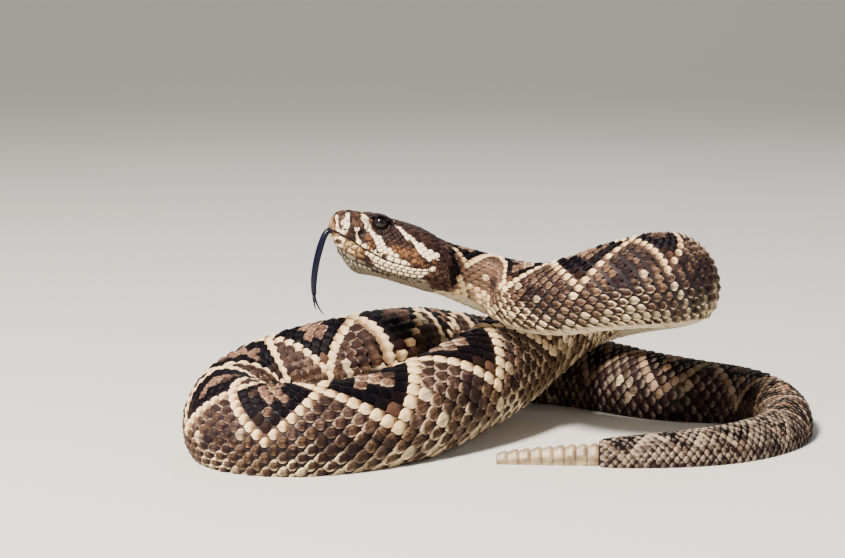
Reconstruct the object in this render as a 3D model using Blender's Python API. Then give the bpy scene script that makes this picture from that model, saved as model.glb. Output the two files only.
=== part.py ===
"""Eastern diamondback rattlesnake, life size, coiled with its head raised.

Metres, +Z up. The snake lies on its belly on the floor plane z = 0, and the origin is on
that plane, under the middle of its bounding box. One spine runs from the lips to the end
of the tail. Head and body are sections set along it, parted by thin flat cuts.
"""
import math

import bmesh
import bpy
import numpy as np
from mathutils import Matrix, Vector

# The spine: lips, nape, neck, raised loop, descent, ground coil, hind body, tail.
SPINE_POINTS = (
    (-0.0408, -0.0415, 0.1038), (-0.0275, -0.0374, 0.0991), (-0.0141, -0.0333, 0.0943),
    (-0.0008, -0.0293, 0.0896), (0.0125, -0.0252, 0.0848), (0.0212, -0.0205, 0.0810),
    (0.0300, -0.0155, 0.0772), (0.0395, -0.0155, 0.0738), (0.0493, -0.0265, 0.0713),
    (0.0605, -0.0390, 0.0720), (0.0735, -0.0490, 0.0762), (0.0860, -0.0525, 0.0802),
    (0.0985, -0.0508, 0.0822), (0.1095, -0.0420, 0.0818), (0.1165, -0.0260, 0.0800),
    (0.1188, -0.0050, 0.0768), (0.1168, 0.0180, 0.0722), (0.1070, 0.0380, 0.0676),
    (0.0900, 0.0485, 0.0625), (0.0700, 0.0465, 0.0550), (0.0530, 0.0310, 0.0450),
    (0.0400, 0.0060, 0.0380), (0.0275, -0.0200, 0.0345), (0.0120, -0.0440, 0.0300),
    (-0.0060, -0.0640, 0.0248), (-0.0240, -0.0800, 0.0218), (-0.0405, -0.0910, 0.0208),
    (-0.0560, -0.0970, 0.0207), (-0.0715, -0.0930, 0.0207), (-0.0830, -0.0800, 0.0211),
    (-0.0870, -0.0620, 0.0225), (-0.0855, -0.0450, 0.0250), (-0.0790, -0.0325, 0.0285),
    (-0.0670, -0.0270, 0.0330), (-0.0547, -0.0260, 0.0367), (-0.0415, -0.0250, 0.0397),
    (-0.0290, -0.0175, 0.0416), (-0.0190, -0.0025, 0.0416), (-0.0105, 0.0145, 0.0402),
    (-0.0030, 0.0320, 0.0382), (0.0060, 0.0500, 0.0352), (0.0185, 0.0670, 0.0312),
    (0.0350, 0.0780, 0.0268), (0.0550, 0.0810, 0.0228), (0.0750, 0.0745, 0.0203),
    (0.0925, 0.0600, 0.0190), (0.1070, 0.0430, 0.0180), (0.1220, 0.0300, 0.0172),
    (0.1400, 0.0245, 0.0161), (0.1560, 0.0235, 0.0149), (0.1675, 0.0190, 0.0137),
    (0.1725, 0.0050, 0.0124), (0.1720, -0.0150, 0.0113), (0.1645, -0.0420, 0.0104),
    (0.1430, -0.0700, 0.0098), (0.1180, -0.0830, 0.0092), (0.0960, -0.0860, 0.0087),
    (0.0750, -0.0860, 0.0080), (0.0560, -0.0840, 0.0074),
)
STAND_POINT = Vector((0.0391, -0.0081, 0.0))
SPINE_STEP = 0.002
SPINE_SMOOTHING = 60
STEPS_BETWEEN_POINTS = 14
STRAIGHT_HEAD = 0.046

# Profiles along the spine, as (distance from the lips, value).
HALF_WIDTH = (
    (0.000, 0.0058), (0.002, 0.0077), (0.006, 0.0092), (0.011, 0.0108), (0.016, 0.0123),
    (0.022, 0.0142), (0.030, 0.0172), (0.038, 0.0200), (0.045, 0.0213), (0.050, 0.0205),
    (0.055, 0.0170), (0.060, 0.0136), (0.066, 0.0122), (0.078, 0.0134), (0.090, 0.0148),
    (0.104, 0.0162), (0.120, 0.0172), (0.137, 0.0186), (0.155, 0.0206), (0.172, 0.0218),
    (0.520, 0.0218), (0.600, 0.0216), (0.700, 0.0211), (0.760, 0.0206), (0.800, 0.0200),
    (0.830, 0.0192), (0.860, 0.0181), (0.885, 0.0166), (0.908, 0.0148), (0.930, 0.0132),
    (0.965, 0.0118), (1.010, 0.0109), (1.045, 0.0097), (1.094, 0.0074),
)
TOP = (
    (0.000, 0.0104), (0.002, 0.0112), (0.006, 0.0119), (0.011, 0.0127), (0.016, 0.0132),
    (0.023, 0.0139), (0.031, 0.0143), (0.037, 0.0144), (0.042, 0.0137), (0.048, 0.0124),
    (0.055, 0.0119), (0.066, 0.0126), (0.078, 0.0137), (0.090, 0.0150), (0.104, 0.0163),
    (0.120, 0.0172), (0.137, 0.0186), (0.155, 0.0206), (0.172, 0.0220), (0.520, 0.0220),
    (0.600, 0.0218), (0.700, 0.0213), (0.760, 0.0208), (0.800, 0.0202), (0.830, 0.0194),
    (0.860, 0.0183), (0.885, 0.0168), (0.908, 0.0150), (0.930, 0.0134), (0.965, 0.0119),
    (1.010, 0.0110), (1.045, 0.0098), (1.094, 0.0076),
)
BOTTOM = (
    (0.000, -0.0054), (0.004, -0.0078), (0.0085, -0.0106), (0.013, -0.0133),
    (0.017, -0.0144), (0.022, -0.0137), (0.028, -0.0131), (0.037, -0.0130),
    (0.053, -0.0129), (0.061, -0.0129), (0.069, -0.0134), (0.078, -0.0139),
    (0.090, -0.0150), (0.104, -0.0163), (0.120, -0.0173), (0.137, -0.0187),
    (0.155, -0.0206), (0.172, -0.0216), (0.520, -0.0218), (0.600, -0.0216),
    (0.700, -0.0211), (0.760, -0.0206), (0.800, -0.0200), (0.830, -0.0192),
    (0.860, -0.0181), (0.885, -0.0166), (0.908, -0.0148), (0.930, -0.0132),
    (0.965, -0.0118), (1.010, -0.0110), (1.045, -0.0098), (1.094, -0.0078),
)
WIDEST_LEVEL = (
    (0.000, 0.0030), (0.010, 0.0000), (0.022, -0.0020), (0.045, -0.0030), (0.060, -0.0015),
    (0.100, -0.0010), (0.200, -0.0020), (0.860, -0.0020), (0.960, -0.0010), (1.100, -0.0005),
)
BACK_SQUARENESS = (
    (0.000, 2.6), (0.010, 3.0), (0.025, 2.7), (0.045, 2.3), (0.062, 2.05), (0.200, 1.9),
    (0.960, 1.9), (1.100, 2.0),
)
BELLY_SQUARENESS = (
    (0.000, 2.3), (0.030, 2.2), (0.060, 2.2), (0.200, 2.6), (0.960, 2.6), (1.100, 2.4),
)

# The lengths that the body is parted into, each with the distance where it starts.
BODY_LENGTHS = (
    ("neck", 0.060), ("body_fore", 0.104), ("loop_front", 0.150), ("loop_back", 0.222),
    ("body_descent", 0.296), ("coil_front", 0.380), ("coil_left", 0.460), ("coil_side", 0.552),
    ("coil_back", 0.640), ("body_hind", 0.740), ("tail_turn", 0.856), ("tail", 0.964),
)
TAIL_END = 1.064
PART_GAP = 0.0003
BODY_SIDES = 18
SCUTE_PITCH = 0.0144
SCUTE_STEP = 0.0006
SCUTE_LIP = 0.0016
SCUTE_REACH = math.radians(48)
SCUTE_FADE = math.radians(12)

# The head, in distances back from the lips, to the snake's right and up.
HEAD_SIDES = 36
HEAD_RINGS = 30
HEAD_RING_CROWDING = 1.25
MOUTH_LINE = (
    (-0.0040, 0.0003), (0.0015, 0.0001), (0.0060, -0.0008), (0.0110, -0.0021),
    (0.0160, -0.0033), (0.0210, -0.0044), (0.0260, -0.0051), (0.0310, -0.0052),
    (0.0360, -0.0046), (0.0410, -0.0030), (0.0445, -0.0006), (0.0458, 0.0012),
)
JAW_HINGE_FOOT = (0.0500, -0.0300)
JAW_BLOCK_HALF_WIDTH = 0.040
NOSE_LENGTH = 0.0014
NOSE_LEVEL = 0.0030
NOSE_ROUNDING = 0.20
LIP_SWELL = 0.0005
LIP_DEPTH = 0.0016
EYE_CENTRE = (0.0179, 0.0080, 0.0109)
EYE_RADIUS = 0.0033
PIT_CENTRE = (0.0103, 0.0107, 0.0033)
PIT_RADIUS = 0.0015
NOSTRIL_CENTRE = (0.0016, 0.0070, 0.0034)
NOSTRIL_RADIUS = 0.0009
HOLE_DEPTH = 0.0022
BROW_CENTRE = (0.0186, 0.0088, 0.0137)
BROW_SIZE = (0.0066, 0.0034, 0.0011)
BROW_TILT = math.radians(14)

# The tongue comes out of a notch between the lips, curves down and forks.
TONGUE_POINTS = (
    (0.0024, 0.0, 0.0004), (-0.0008, 0.0, 0.0008), (-0.0025, 0.0, -0.0004),
    (-0.0034, 0.0, -0.0034), (-0.0035, 0.0, -0.0090), (-0.0031, 0.0, -0.0150),
    (-0.0022, 0.0, -0.0208), (-0.0008, 0.0, -0.0262), (0.0006, 0.0, -0.0298),
)
TONGUE_HALF_WIDTH = 0.0014
TONGUE_HALF_THICKNESS = 0.0011
TONGUE_TAPER = (0.25, 0.20)
FORK_OVERLAP = 0.3
TINES = (
    ((0.0, -0.0002, 0.0), (0.0012, -0.0014, -0.0024), (0.0032, -0.0026, -0.0050),
     (0.0063, -0.0036, -0.0074)),
    ((0.0, 0.0002, 0.0), (0.0010, 0.0012, -0.0022), (0.0022, 0.0020, -0.0044),
     (0.0040, 0.0028, -0.0066)),
)
TINE_RADIUS = 0.0007
TINE_TIP_RADIUS = 0.0003
NOTCH_CENTRE = (0.0, 0.0, 0.0005)
NOTCH_RADII = (0.0042, 0.0021, 0.0017)

# The rattle: interlocked lobed segments, taller than wide, on the tail's end.
RATTLE_SEGMENTS = 9
RATTLE_PITCH = 0.0050
RATTLE_HALF_HEIGHT = (0.0072, 0.0052)
RATTLE_THINNESS = 0.66
RATTLE_TAPER = 1.5
RATTLE_LOBE = ((0.00, 0.80), (0.25, 1.00), (0.75, 0.93))
RATTLE_GROOVE = 0.16
RATTLE_GROOVE_START = 0.72
RATTLE_TIP = (0.25, 0.55)
RATTLE_SIDES = 16

COLOURS = {
    "brown": (0.16, 0.09, 0.06, 1.0),
    "head": (0.22, 0.12, 0.07, 1.0),
    "pale": (0.50, 0.42, 0.30, 1.0),
    "eye": (0.01, 0.008, 0.006, 1.0),
    "tongue": (0.012, 0.012, 0.03, 1.0),
    "horn": (0.30, 0.22, 0.12, 1.0),
}


def start_empty():
    for thing in list(bpy.data.objects):
        bpy.data.objects.remove(thing, do_unlink=True)


def material(name, colour, roughness):
    finish = bpy.data.materials.new(name)
    finish.use_nodes = True
    shader = finish.node_tree.nodes["Principled BSDF"]
    shader.inputs["Base Color"].default_value = colour
    shader.inputs["Roughness"].default_value = roughness
    shader.inputs["Metallic"].default_value = 0.0
    return finish


def profile(knots, where):
    """Read a smooth curve through (distance, value) knots at one distance."""
    places = [knot[0] for knot in knots]
    values = [knot[1] for knot in knots]
    if where <= places[0]:
        return values[0]
    if where >= places[-1]:
        return values[-1]
    i = int(np.searchsorted(places, where, side="right")) - 1
    slopes = [(values[k + 1] - values[k]) / (places[k + 1] - places[k])
              for k in range(len(places) - 1)]

    def slope_at(k):
        if k == 0 or k == len(places) - 1 or slopes[k - 1] * slopes[k] <= 0:
            return 0.0
        return 2 * slopes[k - 1] * slopes[k] / (slopes[k - 1] + slopes[k])

    width = places[i + 1] - places[i]
    t = (where - places[i]) / width
    return ((1 + 2 * t) * (1 - t) ** 2 * values[i] + t * (1 - t) ** 2 * width * slope_at(i)
            + t * t * (3 - 2 * t) * values[i + 1] + t * t * (t - 1) * width * slope_at(i + 1))


def evenly(points, step):
    """Respace a polyline so that its points are a step apart."""
    lengths = np.linalg.norm(np.diff(points, axis=0), axis=1)
    travelled = np.concatenate([[0.0], np.cumsum(lengths)])
    count = int(round(travelled[-1] / step))
    wanted = np.linspace(0.0, travelled[-1], count + 1)
    return np.stack([np.interp(wanted, travelled, points[:, k]) for k in range(3)], axis=1)


def smooth_route(chosen, step, passes):
    """Lay a curve through the chosen points and ease its bends."""
    chosen = np.array(chosen)
    ends = np.vstack([2 * chosen[0] - chosen[1], chosen, 2 * chosen[-1] - chosen[-2]])
    dense = []
    for a, b, c, d in zip(ends, ends[1:], ends[2:], ends[3:]):
        for t in np.linspace(0.0, 1.0, STEPS_BETWEEN_POINTS, endpoint=False):
            dense.append(0.5 * (2 * b + (c - a) * t + (2 * a - 5 * b + 4 * c - d) * t ** 2
                                + (3 * b - a - 3 * c + d) * t ** 3))
    dense.append(ends[-2])
    route = evenly(np.array(dense), step)
    for _ in range(passes):
        route[1:-1] = (route[:-2] + 2 * route[1:-1] + route[2:]) / 4
    return evenly(route, step)


class Spine:
    """A smooth line with a sideways and an upward direction at every distance."""

    def __init__(self, chosen, step, passes):
        self.step = step
        self.points = smooth_route(chosen, step, passes)
        self.length = step * (len(self.points) - 1)

    def point(self, where):
        i = min(max(where / self.step, 0.0), len(self.points) - 1.001)
        k = int(i)
        a = Vector(self.points[k])
        b = Vector(self.points[k + 1])
        return a.lerp(b, i - k) - STAND_POINT

    def frame(self, where):
        """Give the backward, rightward and upward unit vectors."""
        ahead = self.point(min(where + self.step, self.length))
        behind = self.point(max(where - self.step, 0.0))
        back = (ahead - behind).normalized()
        right = Vector((0.0, 0.0, 1.0)).cross(back).normalized()
        return back, right, back.cross(right)

    def place(self, where, right, up):
        _, side, rise = self.frame(where)
        return self.point(where) + side * right + rise * up


spine = Spine(SPINE_POINTS, SPINE_STEP, SPINE_SMOOTHING)


def section(where, sides):
    """Give one section as (right, up) pairs, anticlockwise from the snake's right."""
    half_width = profile(HALF_WIDTH, where)
    top = profile(TOP, where)
    bottom = profile(BOTTOM, where)
    level = profile(WIDEST_LEVEL, where)
    back_power = 2.0 / profile(BACK_SQUARENESS, where)
    belly_power = 2.0 / profile(BELLY_SQUARENESS, where)
    pairs = []
    for k in range(sides):
        angle = 2 * math.pi * (k + 0.5) / sides
        c = math.cos(angle)
        s = math.sin(angle)
        power = back_power if s > 0 else belly_power
        reach = (top - level) if s > 0 else (level - bottom)
        pairs.append((half_width * math.copysign(abs(c) ** power, c),
                      level + reach * math.copysign(abs(s) ** power, s)))
    return pairs


def on_floor(point):
    """Flatten what would sink below the floor."""
    return Vector((point.x, point.y, max(point.z, 0.0)))


def body_ring(where, shift, swell):
    """Give one ring of the body. Swell pushes the belly out, shift slides the ring back."""
    back, right, up = spine.frame(where)
    centre = spine.point(where) + back * shift
    ring = []
    for side, rise in section(where, BODY_SIDES):
        angle = math.atan2(-rise, abs(side))
        fade = min(max((angle - (math.pi / 2 - SCUTE_REACH)) / SCUTE_FADE, 0.0), 1.0)
        ring.append(on_floor(centre + right * side + up * (rise - swell * fade)))
    return ring


def loft(name, rings, finish):
    """Extrude a ring's face from ring to ring into one closed solid."""
    mesh = bpy.data.meshes.new(name)
    bm = bmesh.new()
    first = [bm.verts.new(point) for point in rings[0]]
    face = bm.faces.new(first)
    for ring in rings[1:]:
        face = bmesh.ops.extrude_discrete_faces(bm, faces=[face])["faces"][0]
        for vert, point in zip(face.verts, ring):
            vert.co = point
    bm.faces.new(reversed(first))
    bmesh.ops.recalc_face_normals(bm, faces=bm.faces)
    bmesh.ops.triangulate(bm, faces=bm.faces)
    bm.to_mesh(mesh)
    bm.free()
    mesh.shade_smooth()
    mesh.set_sharp_from_angle(angle=math.radians(50))
    mesh.materials.append(finish)
    solid = bpy.data.objects.new(name, mesh)
    bpy.context.collection.objects.link(solid)
    return solid


def body_length(name, start, end, finish):
    """Make one length of the body, with belly scutes stepped like shingles."""
    rings = [body_ring(start, PART_GAP / 2, 0.0)]
    first = math.ceil((start + SCUTE_LIP) / SCUTE_PITCH)
    last = math.floor((end - SCUTE_LIP) / SCUTE_PITCH)
    for k in range(first, last + 1):
        edge = k * SCUTE_PITCH
        if edge - SCUTE_LIP > start + SCUTE_LIP:
            rings.append(body_ring(edge - SCUTE_LIP, 0.0, SCUTE_STEP))
        if edge < end - SCUTE_LIP:
            rings.append(body_ring(edge, 0.0, 0.0))
        middle = edge + SCUTE_PITCH / 2
        if middle < end - SCUTE_LIP:
            rings.append(body_ring(middle, 0.0, SCUTE_STEP / 2))
    rings.append(body_ring(end, -PART_GAP / 2, 0.0))
    return loft(name, rings, finish)


def boolean(solid, operation, cutter):
    """Apply one Boolean and drop its cutter."""
    step = solid.modifiers.new("step", "BOOLEAN")
    step.operation = operation
    step.object = cutter
    bpy.context.view_layer.update()
    graph = bpy.context.evaluated_depsgraph_get()
    result = bpy.data.meshes.new_from_object(solid.evaluated_get(graph))
    solid.modifiers.clear()
    solid.data = result
    bpy.data.objects.remove(cutter, do_unlink=True)


def keep_largest(solid):
    """Keep the largest closed surface of a solid."""
    bm = bmesh.new()
    bm.from_mesh(solid.data)
    left = set(bm.verts)
    islands = []
    while left:
        island = {left.pop()}
        edge_of_island = list(island)
        while edge_of_island:
            vert = edge_of_island.pop()
            for edge in vert.link_edges:
                other = edge.other_vert(vert)
                if other in left:
                    left.remove(other)
                    island.add(other)
                    edge_of_island.append(other)
        islands.append(island)
    islands.sort(key=len)
    for island in islands[:-1]:
        bmesh.ops.delete(bm, geom=list(island), context="VERTS")
    bmesh.ops.triangulate(bm, faces=bm.faces)
    bm.to_mesh(solid.data)
    bm.free()


def ball(name, centre, radii, turn=None, segments=16, rings=10):
    """Make a ball or an egg in place."""
    mesh = bpy.data.meshes.new(name)
    bm = bmesh.new()
    bmesh.ops.create_uvsphere(bm, u_segments=segments, v_segments=rings, radius=1.0)
    bmesh.ops.scale(bm, vec=radii, verts=bm.verts)
    if turn is not None:
        bmesh.ops.transform(bm, matrix=turn, verts=bm.verts)
    bmesh.ops.translate(bm, vec=centre, verts=bm.verts)
    bmesh.ops.triangulate(bm, faces=bm.faces)
    bm.to_mesh(mesh)
    bm.free()
    mesh.shade_smooth()
    solid = bpy.data.objects.new(name, mesh)
    bpy.context.collection.objects.link(solid)
    return solid


def head_turn():
    """Give the rotation from head directions (back, right, up) to the world's."""
    back, right, up = spine.frame(STRAIGHT_HEAD / 2)
    return Matrix((back, right, up)).transposed().to_4x4()


def head_place(local, side=1):
    """Give the world point of a head place; side is 1 for the snake's right, -1 for left."""
    return spine.place(local[0], local[1] * side, local[2])


def lip_swell(where, right, up):
    """Say how far the lips stand out at a place on the head's side."""
    if where > MOUTH_LINE[-1][0]:
        return 0.0
    from_line = (up - profile(MOUTH_LINE, where)) / LIP_DEPTH
    return LIP_SWELL * math.exp(-from_line ** 2)


def head_ring(where):
    ring = []
    for right, up in section(where, HEAD_SIDES):
        swell = lip_swell(where, right, up)
        ring.append(spine.place(where, right + math.copysign(swell, right), up))
    return ring


def head_solid(name, finish):
    """Make the whole head, round at the lips and flat where the neck joins."""
    end = BODY_LENGTHS[0][1]
    rings = []
    for k in range(HEAD_RINGS):
        where = end * (k / HEAD_RINGS) ** HEAD_RING_CROWDING
        rings.append(head_ring(where))
    back, _, _ = spine.frame(end)
    flat = [spine.place(end, right, up) - back * PART_GAP / 2
            for right, up in section(end, HEAD_SIDES)]
    rings.append(flat)
    front, _, _ = spine.frame(0.0)
    tip = spine.place(0.0, 0.0, NOSE_LEVEL)
    nose = [point.lerp(tip, NOSE_ROUNDING) - front * NOSE_LENGTH for point in rings[0]]
    return loft(name, [nose] + rings, finish)


def jaw_prism(name, lift):
    """Make the block under the mouth line, lifted a little, as a cutter for the jaw."""
    outline = [(where, up + lift) for where, up in MOUTH_LINE]
    outline.append((JAW_HINGE_FOOT[0] + lift, JAW_HINGE_FOOT[1]))
    outline.append((MOUTH_LINE[0][0], JAW_HINGE_FOOT[1]))
    bm = bmesh.new()
    turn = head_turn().to_3x3()
    origin = spine.point(0.0)
    near = [bm.verts.new(origin + turn @ Vector((w, -JAW_BLOCK_HALF_WIDTH, u))) for w, u in outline]
    face = bm.faces.new(near)
    side = bmesh.ops.extrude_face_region(bm, geom=[face])
    moved = [v for v in side["geom"] if isinstance(v, bmesh.types.BMVert)]
    bmesh.ops.translate(bm, vec=turn @ Vector((0.0, 2 * JAW_BLOCK_HALF_WIDTH, 0.0)), verts=moved)
    bmesh.ops.recalc_face_normals(bm, faces=bm.faces)
    bmesh.ops.triangulate(bm, faces=bm.faces)
    mesh = bpy.data.meshes.new(name)
    bm.to_mesh(mesh)
    bm.free()
    cutter = bpy.data.objects.new(name, mesh)
    bpy.context.collection.objects.link(cutter)
    return cutter


def tube(name, points, widths, thicknesses, sides=10):
    """Make a tapering flat tube through points in the head's frame."""
    turn = head_turn().to_3x3()
    origin = spine.point(0.0)
    rings = []
    for k, place in enumerate(points):
        ahead = Vector(points[min(k + 1, len(points) - 1)])
        behind = Vector(points[max(k - 1, 0)])
        along = (ahead - behind).normalized()
        across = Vector((0.0, 1.0, 0.0))
        across = (across - along * across.dot(along)).normalized()
        normal = along.cross(across)
        ring = []
        for j in range(sides):
            angle = 2 * math.pi * j / sides
            offset = (across * widths[k] * math.cos(angle)
                      + normal * thicknesses[k] * math.sin(angle))
            ring.append(origin + turn @ (Vector(place) + offset))
        rings.append(ring)
    return loft(name, rings, FINISH["tongue"])


def make_head():
    head = head_solid("head", FINISH["head"])
    jaw = head_solid("lower_jaw", FINISH["pale"])
    boolean(head, "DIFFERENCE", jaw_prism("mouth_above", PART_GAP / 2))
    boolean(jaw, "INTERSECT", jaw_prism("mouth_below", -PART_GAP / 2))
    turn = head_turn()
    for side in (-1, 1):
        tilt = Matrix.Rotation(-side * BROW_TILT, 4, "X")
        brow = ball("brow", head_place(BROW_CENTRE, side), BROW_SIZE, turn @ tilt)
        boolean(head, "UNION", brow)
    for side in (-1, 1):
        socket = ball("socket", head_place(EYE_CENTRE, side), [EYE_RADIUS + PART_GAP] * 3)
        boolean(head, "DIFFERENCE", socket)
        pit = ball("pit", head_place(PIT_CENTRE, side),
                   (PIT_RADIUS, HOLE_DEPTH, PIT_RADIUS), turn, 10, 6)
        boolean(head, "DIFFERENCE", pit)
        nostril = ball("nostril", head_place(NOSTRIL_CENTRE, side),
                       (NOSTRIL_RADIUS, HOLE_DEPTH, NOSTRIL_RADIUS), turn, 8, 6)
        boolean(head, "DIFFERENCE", nostril)
    for solid in (head, jaw):
        notch = ball("notch", head_place(NOTCH_CENTRE), NOTCH_RADII, turn, 12, 8)
        boolean(solid, "DIFFERENCE", notch)
        keep_largest(solid)


def make_eyes():
    for name, side in (("eye_left", -1), ("eye_right", 1)):
        eye = ball(name, head_place(EYE_CENTRE, side), [EYE_RADIUS] * 3, head_turn(), 14, 10)
        eye.data.materials.append(FINISH["eye"])


def make_tongue():
    count = len(TONGUE_POINTS)
    widths = [TONGUE_HALF_WIDTH * (1.0 - TONGUE_TAPER[0] * k / (count - 1)) for k in range(count)]
    thicknesses = [TONGUE_HALF_THICKNESS * (1.0 - TONGUE_TAPER[1] * k / (count - 1))
                   for k in range(count)]
    tongue = tube("tongue", TONGUE_POINTS, widths, thicknesses)
    fork = Vector(TONGUE_POINTS[-1])
    root = fork.lerp(Vector(TONGUE_POINTS[-2]), FORK_OVERLAP)
    for tine in TINES:
        radii = np.linspace(TINE_RADIUS, TINE_TIP_RADIUS, len(tine))
        points = [root + Vector(place) for place in tine]
        boolean(tongue, "UNION", tube("tine", points, radii, radii, 8))
    keep_largest(tongue)


def make_body():
    starts = [start for _, start in BODY_LENGTHS] + [TAIL_END]
    for (name, start), end in zip(BODY_LENGTHS, starts[1:]):
        body_length(name, start, end, FINISH["brown"])


def make_rattle():
    """Make the rattle in line with the tail, standing on its lower edge."""
    back, right, _ = spine.frame(TAIL_END)
    back = Vector((back.x, back.y, 0.0)).normalized()
    up = Vector((0.0, 0.0, 1.0))
    start = spine.point(TAIL_END) + back * PART_GAP
    rings = []
    for k in range(RATTLE_SEGMENTS):
        size = RATTLE_HALF_HEIGHT[0] + (RATTLE_HALF_HEIGHT[1] - RATTLE_HALF_HEIGHT[0]) * (
            k / (RATTLE_SEGMENTS - 1)) ** RATTLE_TAPER
        for along, swell in RATTLE_LOBE:
            half = size * swell
            centre = start + back * RATTLE_PITCH * (k + along)
            centre.z = size
            ring = []
            for j in range(RATTLE_SIDES):
                angle = 2 * math.pi * (j + 0.5) / RATTLE_SIDES
                sideways = max(0.0, math.cos(angle) ** 2 - RATTLE_GROOVE_START)
                groove = 1.0 - RATTLE_GROOVE * sideways / (1.0 - RATTLE_GROOVE_START)
                ring.append(on_floor(centre + up * half * math.sin(angle)
                                     + right * half * RATTLE_THINNESS * groove
                                     * math.cos(angle)))
            rings.append(ring)
    tip = rings[-1]
    middle = sum(tip, Vector()) / len(tip)
    rings.append([point.lerp(middle, RATTLE_TIP[1]) + back * RATTLE_PITCH * RATTLE_TIP[0]
                  for point in tip])
    loft("rattle", rings, FINISH["horn"])


start_empty()
FINISH = {
    "brown": material("body_scales", COLOURS["brown"], 0.55),
    "head": material("head_scales", COLOURS["head"], 0.5),
    "pale": material("throat_scales", COLOURS["pale"], 0.5),
    "eye": material("eye_spectacle", COLOURS["eye"], 0.05),
    "tongue": material("tongue_skin", COLOURS["tongue"], 0.3),
    "horn": material("rattle_horn", COLOURS["horn"], 0.45),
}
make_head()
make_eyes()
make_tongue()
make_body()
make_rattle()
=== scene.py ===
import math

import bmesh
import bpy
import numpy as np
from mathutils import Matrix, Vector
from mathutils.bvhtree import BVHTree


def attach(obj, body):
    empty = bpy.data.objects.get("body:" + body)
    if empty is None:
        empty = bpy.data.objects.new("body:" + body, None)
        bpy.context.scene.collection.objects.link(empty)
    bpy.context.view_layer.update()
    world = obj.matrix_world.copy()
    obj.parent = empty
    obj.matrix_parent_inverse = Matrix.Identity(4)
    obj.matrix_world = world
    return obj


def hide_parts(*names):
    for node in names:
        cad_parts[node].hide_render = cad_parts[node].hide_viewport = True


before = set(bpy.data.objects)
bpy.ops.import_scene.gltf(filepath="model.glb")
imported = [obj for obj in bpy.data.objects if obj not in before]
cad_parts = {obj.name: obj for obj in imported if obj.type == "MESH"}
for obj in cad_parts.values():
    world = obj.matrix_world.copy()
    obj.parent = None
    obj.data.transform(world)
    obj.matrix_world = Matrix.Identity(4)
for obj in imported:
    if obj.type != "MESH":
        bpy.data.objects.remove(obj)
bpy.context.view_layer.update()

MM = 0.001

# The spine and the profiles of the solids, as distances back from the lips.
SPINE_POINTS = (
    (-0.0408, -0.0415, 0.1038), (-0.0275, -0.0374, 0.0991), (-0.0141, -0.0333, 0.0943),
    (-0.0008, -0.0293, 0.0896), (0.0125, -0.0252, 0.0848), (0.0212, -0.0205, 0.0810),
    (0.0300, -0.0155, 0.0772), (0.0395, -0.0155, 0.0738), (0.0493, -0.0265, 0.0713),
    (0.0605, -0.0390, 0.0720), (0.0735, -0.0490, 0.0762), (0.0860, -0.0525, 0.0802),
    (0.0985, -0.0508, 0.0822), (0.1095, -0.0420, 0.0818), (0.1165, -0.0260, 0.0800),
    (0.1188, -0.0050, 0.0768), (0.1168, 0.0180, 0.0722), (0.1070, 0.0380, 0.0676),
    (0.0900, 0.0485, 0.0625), (0.0700, 0.0465, 0.0550), (0.0530, 0.0310, 0.0450),
    (0.0400, 0.0060, 0.0380), (0.0275, -0.0200, 0.0345), (0.0120, -0.0440, 0.0300),
    (-0.0060, -0.0640, 0.0248), (-0.0240, -0.0800, 0.0218), (-0.0405, -0.0910, 0.0208),
    (-0.0560, -0.0970, 0.0207), (-0.0715, -0.0930, 0.0207), (-0.0830, -0.0800, 0.0211),
    (-0.0870, -0.0620, 0.0225), (-0.0855, -0.0450, 0.0250), (-0.0790, -0.0325, 0.0285),
    (-0.0670, -0.0270, 0.0330), (-0.0547, -0.0260, 0.0367), (-0.0415, -0.0250, 0.0397),
    (-0.0290, -0.0175, 0.0416), (-0.0190, -0.0025, 0.0416), (-0.0105, 0.0145, 0.0402),
    (-0.0030, 0.0320, 0.0382), (0.0060, 0.0500, 0.0352), (0.0185, 0.0670, 0.0312),
    (0.0350, 0.0780, 0.0268), (0.0550, 0.0810, 0.0228), (0.0750, 0.0745, 0.0203),
    (0.0925, 0.0600, 0.0190), (0.1070, 0.0430, 0.0180), (0.1220, 0.0300, 0.0172),
    (0.1400, 0.0245, 0.0161), (0.1560, 0.0235, 0.0149), (0.1675, 0.0190, 0.0137),
    (0.1725, 0.0050, 0.0124), (0.1720, -0.0150, 0.0113), (0.1645, -0.0420, 0.0104),
    (0.1430, -0.0700, 0.0098), (0.1180, -0.0830, 0.0092), (0.0960, -0.0860, 0.0087),
    (0.0750, -0.0860, 0.0080), (0.0560, -0.0840, 0.0074),
)
STAND_POINT = np.array((0.0391, -0.0081, 0.0))
SPINE_STEP = 0.002
SPINE_SMOOTHING = 60
HALF_WIDTH = (
    (0.000, 0.0058), (0.002, 0.0077), (0.006, 0.0092), (0.011, 0.0108), (0.016, 0.0123),
    (0.022, 0.0142), (0.030, 0.0172), (0.038, 0.0200), (0.045, 0.0213), (0.050, 0.0205),
    (0.055, 0.0170), (0.060, 0.0136), (0.066, 0.0122), (0.078, 0.0134), (0.090, 0.0148),
    (0.104, 0.0162), (0.120, 0.0172), (0.137, 0.0186), (0.155, 0.0206), (0.172, 0.0218),
    (0.520, 0.0218), (0.600, 0.0216), (0.700, 0.0211), (0.760, 0.0206), (0.800, 0.0200),
    (0.830, 0.0192), (0.860, 0.0181), (0.885, 0.0166), (0.908, 0.0148), (0.930, 0.0132),
    (0.965, 0.0118), (1.010, 0.0109), (1.045, 0.0097), (1.094, 0.0074),
)
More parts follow.
